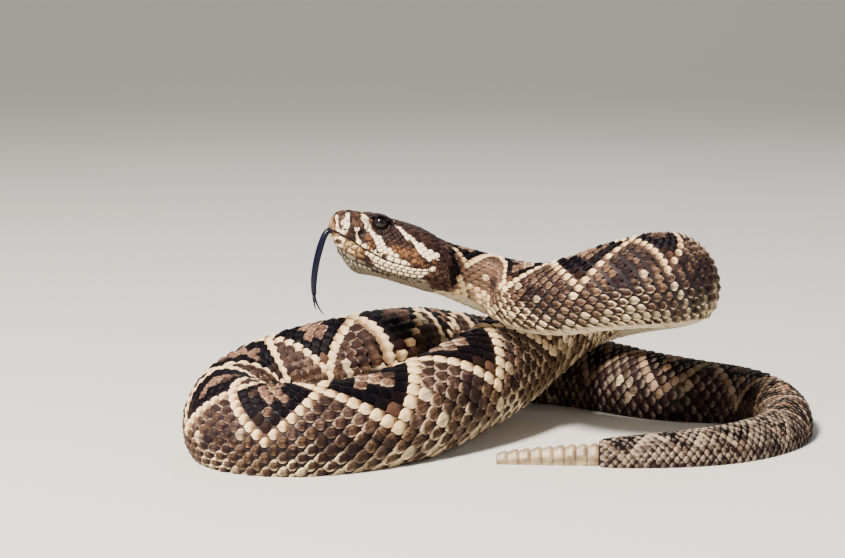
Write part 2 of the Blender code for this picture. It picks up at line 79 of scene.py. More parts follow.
TOP = (
    (0.000, 0.0104), (0.002, 0.0112), (0.006, 0.0119), (0.011, 0.0127), (0.016, 0.0132),
    (0.023, 0.0139), (0.031, 0.0143), (0.037, 0.0144), (0.042, 0.0137), (0.048, 0.0124),
    (0.055, 0.0119), (0.066, 0.0126), (0.078, 0.0137), (0.090, 0.0150), (0.104, 0.0163),
    (0.120, 0.0172), (0.137, 0.0186), (0.155, 0.0206), (0.172, 0.0220), (0.520, 0.0220),
    (0.600, 0.0218), (0.700, 0.0213), (0.760, 0.0208), (0.800, 0.0202), (0.830, 0.0194),
    (0.860, 0.0183), (0.885, 0.0168), (0.908, 0.0150), (0.930, 0.0134), (0.965, 0.0119),
    (1.010, 0.0110), (1.045, 0.0098), (1.094, 0.0076),
)
BOTTOM = (
    (0.000, -0.0054), (0.004, -0.0078), (0.0085, -0.0106), (0.013, -0.0133),
    (0.017, -0.0144), (0.022, -0.0137), (0.028, -0.0131), (0.037, -0.0130),
    (0.053, -0.0129), (0.061, -0.0129), (0.069, -0.0134), (0.078, -0.0139),
    (0.090, -0.0150), (0.104, -0.0163), (0.120, -0.0173), (0.137, -0.0187),
    (0.155, -0.0206), (0.172, -0.0216), (0.520, -0.0218), (0.600, -0.0216),
    (0.700, -0.0211), (0.760, -0.0206), (0.800, -0.0200), (0.830, -0.0192),
    (0.860, -0.0181), (0.885, -0.0166), (0.908, -0.0148), (0.930, -0.0132),
    (0.965, -0.0118), (1.010, -0.0110), (1.045, -0.0098), (1.094, -0.0078),
)
WIDEST_LEVEL = (
    (0.000, 0.0030), (0.010, 0.0000), (0.022, -0.0020), (0.045, -0.0030), (0.060, -0.0015),
    (0.100, -0.0010), (0.200, -0.0020), (0.860, -0.0020), (0.960, -0.0010), (1.100, -0.0005),
)
BACK_SQUARENESS = (
    (0.000, 2.6), (0.010, 3.0), (0.025, 2.7), (0.045, 2.3), (0.062, 2.05), (0.200, 1.9),
    (0.960, 1.9), (1.100, 2.0),
)
BELLY_SQUARENESS = (
    (0.000, 2.3), (0.030, 2.2), (0.060, 2.2), (0.200, 2.6), (0.960, 2.6), (1.100, 2.4),
)
TAIL_END = 1.064
STRAIGHT_HEAD = 0.046
HEAD_REACH = 0.062

# The skin lies this far inside the solids, by the thickness of the scales on it.
COAT_DEPTH = ((0.000, 0.0005), (0.040, 0.0006), (0.070, 0.0009), (0.180, 0.0012),
              (0.860, 0.0012), (1.064, 0.0007))
NOSE_REACH = 0.0024
NOSE_START = 0.0030
NOSE_LEVEL = 0.0030
JAW_RETREAT = 0.0022
TAIL_NARROWING = 0.16
TIP_LENGTH = 0.008

# How far the back leans to the snake's right, in degrees. The belly leans less.
ROLL = ((0.000, 0.0), (0.060, 0.0), (0.120, -4.0), (0.158, -6.0), (0.190, 2.0), (0.300, 0.0),
        (0.373, -3.0), (0.428, -8.0), (0.460, 4.0), (0.487, 18.0), (0.518, 28.0), (0.552, 16.0),
        (0.591, -9.0), (0.640, -4.0), (0.700, 0.0), (1.064, 0.0))
BELLY_ROLL_SHARE = 0.35

# Where the cream outlines of neighbouring diamonds cross on the back. The scale lattice has
# one scale of each row to each belly scute, and as many scutes to each diamond.
CROSSINGS = (0.046, 0.078, 0.121, 0.158, 0.184, 0.222, 0.264, 0.316, 0.371, 0.428, 0.487,
             0.519, 0.552, 0.591, 0.628, 0.680, 0.720, 0.760, 0.798, 0.836, 0.872, 0.905,
             0.935, 0.963, 0.990, 1.016, 1.041, 1.066)
SCUTES_PER_DIAMOND = 7
LATTICE_START = CROSSINGS[0]
ROW_REGIONS = ((0.046, 0.343, 27), (0.343, 0.860, 25), (0.860, 0.935, 23), (0.935, 1.064, 21))
BELLY_SHARE = ((0.046, 0.25), (0.100, 0.24), (0.300, 0.20), (0.400, 0.16), (0.470, 0.20),
               (0.505, 0.32), (0.550, 0.20), (0.620, 0.16), (0.655, 0.12), (0.700, 0.14),
               (0.900, 0.20), (1.064, 0.24))

# The rows round the body, for the skin's own marks between the scales.
ROWS_ALONG = ((0.342, 0.343, 0.860, 0.861, 0.935, 0.936), (27, 25, 25, 23, 23, 21))

# How evenly the rows share the girth: below 1 they narrow towards the back.
ROW_EVENNESS = ((0.046, 0.90), (0.140, 0.98), (0.171, 0.70), (0.260, 0.74), (0.343, 0.94),
                (0.400, 0.98), (1.064, 0.92))

# How far the scales spread apart, where the skin between them shows.
SPREAD = ((0.046, 0.98), (0.100, 0.92), (0.130, 0.86), (0.160, 0.84), (0.290, 0.86),
          (0.340, 0.94), (0.400, 0.98), (1.064, 1.02))
SLIMNESS = ((0.046, 0.96), (0.100, 0.90), (0.150, 0.80), (0.290, 0.82), (0.340, 0.94),
            (0.400, 0.98), (1.064, 1.00))

# Where the left flank's scales slip along the body against the back's, in metres.
FLANK_SLIP = ((0.125, 0.000), (0.171, -0.010), (0.200, -0.006), (0.235, 0.000), (0.535, 0.000),
              (0.571, 0.019), (0.590, 0.012), (0.612, 0.000), (0.640, -0.016), (0.665, -0.023),
              (0.705, -0.028), (0.745, -0.018), (0.790, 0.000))
SLIP_PLACE = 0.45

# Where the diamonds fade on the hind body, and where the tail's mottling begins. The unwrap
# holds this length of the body, and each leaf has a small patch of it.
HIND_FADE = (0.690, 0.760)
TAIL_FADE = (0.955, 0.985)
PATCH_LENGTH = 1.08
PATCH_SIZE = 0.003

CAMERA_PLACE = (-0.0391, -0.9919, 0.193)
CAMERA_PITCH = math.atan(244 / 2112)
CAMERA_LENS = 90.0


def unit(vectors):
    return vectors / np.maximum(np.linalg.norm(vectors, axis=-1, keepdims=True), 1e-12)


def profile(knots, where):
    """Read a smooth curve through (distance, value) knots at many distances."""
    places, values = np.array(knots, dtype=float).T
    slopes = np.diff(values) / np.diff(places)
    product = slopes[:-1] * slopes[1:]
    total = np.where(product > 0, slopes[:-1] + slopes[1:], 1.0)
    inner = np.where(product > 0, 2 * product / total, 0.0)
    at = np.concatenate([[0.0], inner, [0.0]])
    where = np.clip(np.asarray(where, dtype=float), places[0], places[-1])
    i = np.clip(np.searchsorted(places, where, side="right") - 1, 0, len(slopes) - 1)
    width = places[i + 1] - places[i]
    t = (where - places[i]) / width
    return ((1 + 2 * t) * (1 - t) ** 2 * values[i] + t * (1 - t) ** 2 * width * at[i]
            + t * t * (3 - 2 * t) * values[i + 1] + t * t * (t - 1) * width * at[i + 1])


def profile_through(knots, where):
    """Read a rising curve through knots, keeping its slope at both ends."""
    first, last = knots[0], knots[-1]
    before = (2 * first[0] - knots[1][0], 2 * first[1] - knots[1][1])
    after = (2 * last[0] - knots[-2][0], 2 * last[1] - knots[-2][1])
    return profile((before,) + tuple(knots) + (after,), where)


def evenly(points, step):
    """Respace a polyline so that its points are a step apart."""
    lengths = np.linalg.norm(np.diff(points, axis=0), axis=1)
    travelled = np.concatenate([[0.0], np.cumsum(lengths)])
    count = int(round(travelled[-1] / step))
    wanted = np.linspace(0.0, travelled[-1], count + 1)
    return np.stack([np.interp(wanted, travelled, points[:, k]) for k in range(3)], axis=1)


def smooth_route(chosen, step, passes):
    """Lay a curve through the chosen points and ease its bends."""
    chosen = np.array(chosen)
    ends = np.vstack([2 * chosen[0] - chosen[1], chosen, 2 * chosen[-1] - chosen[-2]])
    dense = []
    for a, b, c, d in zip(ends, ends[1:], ends[2:], ends[3:]):
        for t in np.linspace(0.0, 1.0, 14, endpoint=False):
            dense.append(0.5 * (2 * b + (c - a) * t + (2 * a - 5 * b + 4 * c - d) * t ** 2
                                + (3 * b - a - 3 * c + d) * t ** 3))
    dense.append(ends[-2])
    route = evenly(np.array(dense), step)
    for _ in range(passes):
        route[1:-1] = (route[:-2] + 2 * route[1:-1] + route[2:]) / 4
    return evenly(route, step)


ROUTE = smooth_route(SPINE_POINTS, SPINE_STEP, SPINE_SMOOTHING) - STAND_POINT
ROUTE_LENGTH = SPINE_STEP * (len(ROUTE) - 1)


def spine_point(where):
    """Give the spine's points at many distances, held to its ends."""
    i = np.clip(np.asarray(where, dtype=float) / SPINE_STEP, 0.0, len(ROUTE) - 1.001)
    k = i.astype(int)
    t = (i - k)[..., None]
    return ROUTE[k] * (1 - t) + ROUTE[k + 1] * t


def spine_frame(where):
    """Give the backward, rightward and upward unit vectors at many distances."""
    where = np.asarray(where, dtype=float)
    ahead = spine_point(np.minimum(where + SPINE_STEP, ROUTE_LENGTH))
    behind = spine_point(np.maximum(where - SPINE_STEP, 0.0))
    back = unit(ahead - behind)
    right = unit(np.cross(np.array((0.0, 0.0, 1.0)), back))
    return back, right, np.cross(back, right)


def section(where, angles, inset):
    """Give (right, up) of the sections at many distances, one row of angles for each."""
    where = np.asarray(where)[:, None]
    inset = np.asarray(inset)[:, None]
    half_width = profile(HALF_WIDTH, where) - inset
    top = profile(TOP, where) - inset
    bottom = profile(BOTTOM, where) + inset
    level = profile(WIDEST_LEVEL, where)
    c = np.cos(angles)[None, :]
    s = np.sin(angles)[None, :]
    power = np.where(s > 0, 2.0 / profile(BACK_SQUARENESS, where),
                     2.0 / profile(BELLY_SQUARENESS, where))
    reach = np.where(s > 0, top - level, level - bottom)
    return (half_width * np.sign(c) * np.abs(c) ** power,
            level + reach * np.sign(s) * np.abs(s) ** power)


def head_relief(where, right, up):
    """Push the head's section out at the lips, and in at the mouth, eyes, pits and nostrils."""
    in_mouth = np.clip((0.0455 - where) / 0.004, 0.0, 1.0)
    off_line = (up - mouth_level(where)) / MM
    push = in_mouth * (0.45 * np.exp(-(off_line / 1.9) ** 2)
                       - 1.1 * np.exp(-(off_line / 0.35) ** 2))
    for centre, depth, reach, power in HOLLOWS:
        off = np.hypot(where - centre[0], up - centre[2]) / MM
        push = push - depth * np.exp(-(off / reach) ** power)
    widest = np.maximum(profile(HALF_WIDTH, where), 1e-6)
    return push * np.clip(np.abs(right) / widest, 0.0, 1.0) ** 2 * MM


MOUTH_LINE = (
    (-0.0040, 0.0005), (0.0015, 0.0004), (0.0040, -0.0002), (0.0064, -0.0008),
    (0.0087, -0.0014), (0.0112, -0.0022), (0.0150, -0.0033), (0.0180, -0.0038),
    (0.0209, -0.0043), (0.0245, -0.0046), (0.0268, -0.0047), (0.0305, -0.0045),
    (0.0341, -0.0043), (0.0378, -0.0038), (0.0416, -0.0026), (0.0435, -0.0016),
    (0.0450, -0.0006),
)
EYE_CENTRE = (0.0176, 0.0086, 0.0105)
EYE_RADIUS = 0.0033
PIT_CENTRE = (0.0103, 0.0107, 0.0033)
NOSTRIL_CENTRE = (0.0016, 0.0070, 0.0034)
HOLLOWS = ((EYE_CENTRE, 1.5, 3.3, 6), (PIT_CENTRE, 1.6, 1.2, 4), (NOSTRIL_CENTRE, 1.3, 0.8, 4))


def mouth_level(where):
    return profile(MOUTH_LINE, where)


def skin_sections(where):
    """Give the skin's sections: under the coat, with the head's relief and both ends rounded."""
    turn = np.linspace(0.0, 2 * math.pi, 385)
    right, up = section(where, math.pi / 2 - turn, profile(COAT_DEPTH, where))
    on_head = (where < HEAD_REACH)[:, None]
    grown = np.where(on_head, head_relief(where[:, None], right, up), 0.0)
    at_tip = np.clip((where - TAIL_END + TIP_LENGTH) / TIP_LENGTH, 0.0, 1.0)[:, None]
    blunt = 1 - TAIL_NARROWING * at_tip ** 2
    right = (right + np.sign(right) * grown) * blunt
    up = up * blunt
    along = np.clip((NOSE_START - where) / (NOSE_START + NOSE_REACH), 0.0, 1.0)
    shrink = ((1 - along ** 3.4) ** (1 / 2.5))[:, None]
    return right * shrink, NOSE_LEVEL + (up - NOSE_LEVEL) * shrink


class Surface:
    """The skin as a map from distance s and girth place q to points and normals.

    q is 0 on the middle of the back, 1 on the middle of the belly by the snake's right, and
    -1 there by its left, in equal arcs on each side.
    """

    def __init__(self, columns=64):
        self.stations = np.concatenate([
            np.linspace(-NOSE_REACH, 0.002, 14)[:-1], np.arange(0.002, HEAD_REACH, 0.0006),
            np.linspace(HEAD_REACH, TAIL_END, 655)])
        self.columns = columns
        where = self.stations
        right, up = skin_sections(where)
        step = np.hypot(np.diff(right, axis=1), np.diff(up, axis=1)) + 1e-9
        arc = np.concatenate([np.zeros((len(where), 1)), np.cumsum(step, axis=1)], axis=1)
        girth = arc[:, -1]
        lean = profile(ROLL, where) / 360.0
        share = np.linspace(0.0, 1.0, columns + 1)[None, :]
        start = lean * girth
        belly_right = girth / 2 + lean * girth * BELLY_ROLL_SHARE
        belly_left = belly_right - girth
        left_side, right_side = (start[:, None] + (belly - start)[:, None] * share
                                 for belly in (belly_left, belly_right))
        wanted = np.mod(np.hstack([left_side[:, ::-1], right_side[:, 1:]]), girth[:, None])
        rights, ups = (np.array([np.interp(*row) for row in zip(wanted, arc, places)])
                       for places in (right, up))
        centre = spine_point(np.maximum(where, 0.0))
        back, side, rise = spine_frame(np.maximum(where, 0.0))
        centre = centre + back * np.minimum(where, 0.0)[:, None]
        below = np.clip((mouth_level(where)[:, None] + 0.0004 - ups) / 0.0016, 0.0, 1.0)
        retreat = JAW_RETREAT * below * np.clip((0.014 - where) / 0.014, 0.0, 1.0)[:, None]
        self.points = (centre[:, None] + side[:, None] * rights[..., None]
                       + rise[:, None] * ups[..., None] + back[:, None] * retreat[..., None])
        self.points[..., 2] = np.maximum(self.points[..., 2], 0.0006)
        self.girth = girth
        self.half_right = belly_right - start
        self.half_left = start - belly_left
        along_step = np.gradient(self.points, self.stations, axis=0)
        wrapped = np.hstack([self.points[:, -2:-1], self.points, self.points[:, 1:2]])
        around_step = (wrapped[:, 2:] - wrapped[:, :-2]) * columns / 2
        self.normals = unit(np.cross(along_step, around_step))
        outward = self.points - centre[:, None]
        flip = np.sign(np.sum(self.normals * outward, axis=-1, keepdims=True))
        self.normals = self.normals * np.where(flip == 0, 1.0, flip)
        self.along = np.linalg.norm(along_step, axis=-1)
        self.around = np.linalg.norm(around_step, axis=-1)

    def read(self, table, s, q):
        """Read a table of the surface between its stations and columns."""
        q = np.mod(np.asarray(q) + 1.0, 2.0) * self.columns
        i = np.interp(s, self.stations, np.arange(len(self.stations)))
        i0 = np.minimum(i.astype(int), len(self.stations) - 2)
        j0 = np.minimum(q.astype(int), 2 * self.columns - 1)
        a = i - i0
        b = q - j0
        if table.ndim == 3:
            a = a[..., None]
            b = b[..., None]
        return ((table[i0, j0] * (1 - b) + table[i0, j0 + 1] * b) * (1 - a)
                + (table[i0 + 1, j0] * (1 - b) + table[i0 + 1, j0 + 1] * b) * a)

    def at(self, s, q):
        return self.read(self.points, s, q), unit(self.read(self.normals, s, q))


surface = Surface()

# The lattice counts scutes along the body.
COUNT_KNOTS = tuple((where, SCUTES_PER_DIAMOND * k) for k, where in enumerate(CROSSINGS))
FINE_PLACES = np.linspace(LATTICE_START, CROSSINGS[-1], 2400)
FINE_COUNTS = profile_through(COUNT_KNOTS, FINE_PLACES)


def scute_count(where):
    return np.interp(where, FINE_PLACES, FINE_COUNTS)


def scute_place(count):
    return np.interp(count, FINE_COUNTS, FINE_PLACES)


def scute_pitch(where):
    return (scute_place(scute_count(where) + 0.5) - scute_place(scute_count(where) - 0.5))


def slip(where, q):
    """Give how far along the body a scale at a girth place has slipped."""
    return profile(FLANK_SLIP, where) * np.clip(-q / SLIP_PLACE, 0.0, 1.0)


def row_place(row, where, rows):
    """Give the girth place of a row of scales."""
    share = np.abs(row) / (rows / 2.0)
    even = profile(ROW_EVENNESS, where)
    flank = 1.0 - profile(BELLY_SHARE, where)
    return flank * np.sign(row) * share * (even + (1 - even) * share)


def row_at(q, where):
    """Give the row at a girth place."""
    rows = np.interp(where, *ROWS_ALONG)
    even = profile(ROW_EVENNESS, where)
    place = np.abs(q) / (1.0 - profile(BELLY_SHARE, where))
    return rows * place / (even + np.sqrt(even ** 2 + 4 * (1 - even) * place))


def diamond_depth(count, row):
    """Say how deep a place is inside its diamond: 0 on the cream outline, in half scales."""
    past = np.mod(count, SCUTES_PER_DIAMOND)
    return 2 * np.minimum(past, SCUTES_PER_DIAMOND - past) - np.abs(row)


def new_object(name, mesh, finish, replaced=()):
    """Put a mesh in the scene as a piece of the body, in place of the solids it replaces."""
    thing = bpy.data.objects.new(name, mesh)
    bpy.context.scene.collection.objects.link(thing)
    mesh.materials.append(finish)
    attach(thing, "root")
    if replaced:
        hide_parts(*replaced)


def mesh_from(bm, name):
    """Turn a bmesh into a smooth mesh and free it."""
    mesh = bpy.data.meshes.new(name)
    bm.to_mesh(mesh)
    bm.free()
    mesh.shade_smooth()
    return mesh


def set_attribute(mesh, name, values):
    layer = mesh.attributes.new(name, "FLOAT_VECTOR", "POINT")
    layer.data.foreach_set("vector", np.ascontiguousarray(values, dtype=np.float32).ravel())


def leaf_template(along, across):
    """Model one leaf: a grid with its rim folded under and a floor, in unit places.

    Returns corner places (along 0 to 1, across -1 to 1, 0 on top or 1 underneath) and faces.
    """
    bm = bmesh.new()
    bmesh.ops.create_grid(bm, x_segments=along, y_segments=across, size=0.5)
    rim = [edge for edge in bm.edges if edge.is_boundary]
    skirt = bmesh.ops.extrude_edge_only(bm, edges=rim)["geom"]
    low = [v for v in skirt if isinstance(v, bmesh.types.BMVert)]
    bmesh.ops.translate(bm, vec=(0, 0, -1), verts=low)
    floor = bmesh.ops.holes_fill(bm, edges=[e for e in bm.edges if e.is_boundary])["faces"]
    bmesh.ops.triangulate(bm, faces=floor)
    bmesh.ops.recalc_face_normals(bm, faces=bm.faces)
    bm.verts.index_update()
    corners = np.array([(v.co.x + 0.5, v.co.y * 2.0, -v.co.z) for v in bm.verts])
    faces = [[v.index for v in face.verts] for face in bm.faces]
    bm.free()
    return corners, faces


def joined_mesh(name, points, faces, marks, leaves, patches):
    """Join many leaves of one template into a mesh: points is (leaf, corner, 3)."""
    count, corners, _ = points.shape
    flat = np.concatenate([np.array(face) for face in faces])
    starts = np.concatenate([[0], np.cumsum([len(face) for face in faces])[:-1]])
    shift = (np.arange(count) * corners)[:, None]
    loops = (flat[None, :] + shift).ravel()
    loop_starts = (starts[None, :] + (np.arange(count) * len(flat))[:, None]).ravel()
    mesh = bpy.data.meshes.new(name)
    mesh.vertices.add(count * corners)
    mesh.vertices.foreach_set("co", points.astype(np.float32).ravel())
    mesh.loops.add(len(loops))
    mesh.loops.foreach_set("vertex_index", loops.astype(np.int32))
    mesh.polygons.add(len(loop_starts))
    mesh.polygons.foreach_set("loop_start", loop_starts.astype(np.int32))
    mesh.update(calc_edges=True)
    mesh.validate()
    set_attribute(mesh, "mark", marks.reshape(-1, 3))
    set_attribute(mesh, "leaf", leaves.reshape(-1, 3))
    layer = mesh.uv_layers.new(name="OFBake")
    uv = patches.reshape(-1, 2)[loops]
    layer.data.foreach_set("uv", uv.astype(np.float32).ravel())
    mesh.shade_smooth()
    mesh.set_sharp_from_angle(angle=math.radians(48))
    return mesh


def patches_for(s, q, corners):
    """Give each leaf a small patch at its root's place on the skin's own unwrap."""
    root = np.stack([np.clip(s / PATCH_LENGTH, 0.0, 0.995), np.mod((q + 1) / 2, 1.0) * 0.99],
                    axis=-1)
    local = np.stack([corners[:, 0], (corners[:, 1] + 1) / 2], axis=-1) * PATCH_SIZE
    return root[:, None, :] + local[None, :, :]


def spread(values, corners, shape):
    """Give every corner its leaf's values, and its own place on the leaf."""
    marks = np.broadcast_to(np.stack(values, axis=-1)[:, None, :], shape)
    return marks, np.broadcast_to(corners[:, [1, 0, 2]], shape)


def lay_leaves(s, q, length, width, height, corners, outline):
    """Lay leaves on the skin: length and width in metres for each, bent to its surface."""
    along = np.maximum(surface.read(surface.along, s, q), 0.8)
    around = np.maximum(surface.read(surface.around, s, q), 1e-4)
    x, y, rise = outline(corners)
    x = x * length[:, None]
    y = y * width[:, None]
    where = s[:, None] + x / along[:, None]
    place = q[:, None] + y / around[:, None]
    points, normals = surface.at(np.clip(where, surface.stations[0], TAIL_END - 0.0002), place)
    points = points + normals * (rise * height[:, None])[..., None]
    points[..., 2] = np.maximum(points[..., 2], 0.0001)
    return points


def keeled_outline(corners):
    """Shape a leaf as a keeled scale: narrow root, widest past the middle, rounded tip."""
    a, b, under = corners.T
    wide = np.interp(a, (0.0, 0.25, 0.55, 0.8, 0.93, 1.0), (0.50, 0.90, 1.0, 0.80, 0.54, 0.28))
    x = a - 0.56 - 0.10 * a ** 3 * b ** 2
    y = 0.5 * b * wide
    lift = np.interp(a, (0.0, 0.3, 0.8, 1.0), (-0.25, 0.35, 0.95, 1.0))
    dome = 0.42 * (1 - b ** 2) * np.interp(a, (0.0, 0.3, 0.85, 1.0), (0.3, 1.0, 0.8, 0.25))
    keel = 0.34 * np.exp(-(b / 0.16) ** 2)
    keel = keel * np.interp(a, (0.0, 0.15, 0.8, 1.0), (0.0, 1.0, 0.8, 0.0))
    return x, y, np.where(under > 0.5, lift - 0.95, lift + dome + keel)


SCALE = leaf_template(6, 6)


def lattice_places():
    """List the scales of the lattice: distance, row, count, and the rows round the body."""
    places = []
    for start, end, rows in ROW_REGIONS:
        first = math.ceil(float(scute_count(start)) * 2)
        last = math.ceil(float(scute_count(end)) * 2)
        for row in range(-(rows // 2), rows // 2 + 1):
            for half in range(first, last):
                if (half + row) % 2:
                    continue
                count = half / 2
                places.append((float(scute_place(count)), row, count, rows))
    return np.array(places)


def neck_depth(depth, s, q, chance):
    """Mark the black patch behind the jaw, the cream one behind it and the cream low rows."""
    points, _ = surface.at(s, q)
    back, _, up = head_coordinates(points)
    near = s < 0.075
    patch = inside_shape(back / MM, up / MM, NECK_PATCH)
    depth = np.where(near & (patch > -0.4), np.where(chance < 0.88, 2.0, -2.0), depth)
    patch = np.hypot((back - 0.0625) / 0.0040, (up + 0.0050) / 0.0034)
    depth = np.where(near & (patch < 1.0) & (chance < 0.75), 0.0, depth)
    edge = np.interp(s, (0.060, 0.0625, 0.068, 0.078, 0.085, 0.092),
                     (1.1, 0.76, 0.73, 0.78, 0.82, 1.1))
    down = np.abs(q) / (1.0 - profile(BELLY_SHARE, s))
    depth = np.where((down > edge) & (chance < 0.86), 0.0, depth)
    return np.where((s < 0.0535) & (depth > -1.5) & (depth != 2.0), -2.5, depth)


# Width and length against the spacing of the scales, and height against the coat's depth.
SCALE_SIZE = (1.56, 1.20, 0.9)
SCUTE_SIZE = (1.06, 1.32, 0.8)
SCALE_PIECES = (("scales_neck", 0.0, 0.150), ("scales_loop", 0.150, 0.296),
                ("scales_front", 0.296, 0.480), ("scales_coil", 0.480, 0.740),
                ("scales_hind", 0.740, 0.900), ("scales_tail", 0.900, 1.3))


def make_scales():
    """Cover the body with keeled scales, in pieces by length."""
    places = lattice_places()
    s, row, count, rows = places.T
    draws = np.random.default_rng(7)
    jitter = draws.normal(size=(len(s), 4))
    chance = draws.random(len(s))
    q = row_place(row, s, rows)
    s = s + slip(s, q)
    wider = row_place(row + 0.5, s, rows) - row_place(row - 0.5, s, rows)
    half_arc = np.where(q > 0, np.interp(s, surface.stations, surface.half_right),
                        np.interp(s, surface.stations, surface.half_left))
    spacing = wider * half_arc
    depth = diamond_depth(count, row)
    fuller = np.where(depth == 0, 0.93, 1.0) * profile(SPREAD, s)
    wide, long, tall = SCALE_SIZE
    width = spacing * wide * fuller * profile(SLIMNESS, s) * (1 + 0.03 * jitter[:, 0])
    length = scute_pitch(s) * long * fuller * (1 + 0.03 * jitter[:, 1])
    height = profile(COAT_DEPTH, s) * tall * (1 + 0.06 * jitter[:, 2])
    corners, faces = SCALE
    points = lay_leaves(s, q, length, width, height, corners, keeled_outline)
    values = (neck_depth(depth, s, q, chance), np.abs(row), chance)
    marks, leaves = spread(values, corners, points.shape)
    patches = patches_for(s, q, corners)
    for name, low, high in SCALE_PIECES:
        chosen = (s >= low) & (s < high)
        mesh = joined_mesh(name, points[chosen], faces, marks[chosen], leaves[chosen],
                           patches[chosen])
        new_object(name, mesh, FINISH["scales"])


def scute_outline(corners):
    a, b, under = corners.T
    x = a - 0.60 - 0.05 * b ** 2 * a
    lift = np.interp(a, (0.0, 0.5, 1.0), (-0.20, 0.35, 0.8)) * (1 - 0.35 * np.abs(b) ** 6)
    return x, 0.5 * b, np.where(under > 0.5, lift - 0.8, lift)


def make_scutes():
    """Lay one broad scute across the belly at each count."""
    corners, faces = leaf_template(5, 24)
    count = np.arange(1, int(scute_count(TAIL_END - 0.003)), dtype=float)
    s = scute_place(count + 0.5)
    q = np.ones_like(s)
    wide, long, tall = SCUTE_SIZE
    width = np.interp(s, surface.stations, surface.girth) * profile(BELLY_SHARE, s) * wide
    length = scute_pitch(s) * long
    height = profile(COAT_DEPTH, s) * tall
    points = lay_leaves(s, q, length, width, height, corners, scute_outline)
    chance = np.random.default_rng(11).random(len(s))
    marks, leaves = spread((count, np.full_like(s, 16.0), chance), corners, points.shape)
    mesh = joined_mesh("belly_scutes", points, faces, marks, leaves, patches_for(s, q, corners))
    new_object("belly_scutes", mesh, FINISH["scutes"])


FLESH = ("head", "lower_jaw", "neck", "body_fore", "loop_front", "loop_back", "body_descent",
         "coil_front", "coil_left", "coil_side", "coil_back", "body_hind", "tail_turn", "tail")


def make_skin():
    """Bend one grid into the whole skin, closed at both ends, and return its search tree."""
    rows = len(surface.stations)
    columns = 2 * surface.columns + 1
    bm = bmesh.new()
    bmesh.ops.create_grid(bm, x_segments=rows - 1, y_segments=columns - 1, size=0.5)
    mark = bm.verts.layers.float_vector.new("mark")
    leaf = bm.verts.layers.float_vector.new("leaf")
    patch = bm.loops.layers.uv.new("OFBake")
    q = np.linspace(-1.0, 1.0, columns)
    s = surface.stations
    where = s[:, None] * np.ones((1, columns))
    row = row_at(q[None, :], where)
    depth = diamond_depth(scute_count(where - slip(where, q[None, :])), row)
    tones = head_tones(*head_coordinates(surface.points))
    place = {}
    for vert in bm.verts:
        i = int(round((vert.co.x + 0.5) * (rows - 1)))
        j = int(round((vert.co.y + 0.5) * (columns - 1)))
        place[vert] = (i, j)
        vert.co = surface.points[i, j]
        if s[i] < LATTICE_START + 0.002:
            vert[mark] = [tone[i, j] for tone in tones]
            vert[leaf] = (1.0, np.interp(s[i], (0.009, 0.013), (0.15, 0.80)), 0.5)
        else:
            vert[mark] = (depth[i, j], row[i, j], 0.5)
            vert[leaf] = (0.0, 0.5, 0.0)
    for face in bm.faces:
        for loop in face.loops:
            i, j = place[loop.vert]
            back = min(max(s[i] / PATCH_LENGTH, 0.0), 0.995)
            loop[patch].uv = (back, 0.99 * j / (columns - 1))
    bmesh.ops.remove_doubles(bm, verts=bm.verts, dist=1e-6)
    bmesh.ops.holes_fill(bm, edges=[e for e in bm.edges if e.is_boundary])
    bmesh.ops.recalc_face_normals(bm, faces=bm.faces)
    tree = BVHTree.FromBMesh(bm)
    new_object("skin", mesh_from(bm, "skin"), FINISH["skin"], FLESH)
    return tree


# Materials. Marks on the mesh say where each scale is: its depth inside a diamond, its row
# and a chance value. Leaf values say where a point is on its own scale.
CREAM = (0.90, 0.70, 0.43, 1.0)
WARM_CREAM = (0.62, 0.36, 0.15, 1.0)
PALE_TAN = (0.34, 0.195, 0.125, 1.0)
TAN = (0.120, 0.058, 0.038, 1.0)
BROWN = (0.040, 0.018, 0.011, 1.0)
BLACK = (0.0022, 0.0016, 0.0032, 1.0)
FLANK = (0.058, 0.031, 0.026, 1.0)
FLANK_PALE = (0.25, 0.155, 0.118, 1.0)
# Dark purple-brown of smudges in the pattern, also used as painted shade on the roots and
# undersides of the scales and on the head's skin.
SMUDGE_AND_SHADE = (0.013, 0.0075, 0.010, 1.0)
GOLDEN = (0.23, 0.128, 0.052, 1.0)
MAUVE = (0.017, 0.011, 0.016, 1.0)
ASH = (0.095, 0.068, 0.055, 1.0)
ASH_PALE = (0.36, 0.275, 0.205, 1.0)
# Rust-brown of the skin between cream scales, also used as painted shade on the roots and
# undersides of cream scales.
RUST = (0.110, 0.046, 0.020, 1.0)
RIM = (0.78, 0.57, 0.39, 1.0)
IVORY = (0.80, 0.70, 0.50, 1.0)
HEAD_BROWN = (0.024, 0.011, 0.009, 1.0)
HEAD_TAN = (0.090, 0.046, 0.029, 1.0)
HEAD_DEEP = (0.0075, 0.0038, 0.0058, 1.0)
HEAD_RUST = (0.230, 0.095, 0.034, 1.0)
# Painted highlight on the crests of the head's small scales.
HEAD_CREST_HIGHLIGHT = (0.23, 0.140, 0.115, 1.0)
OCHRE = (0.26, 0.135, 0.045, 1.0)
LIP_CREAM = (0.90, 0.73, 0.49, 1.0)
LIP_TAN = (0.78, 0.60, 0.38, 1.0)
HEAD_SEAM = (0.012, 0.007, 0.006, 1.0)
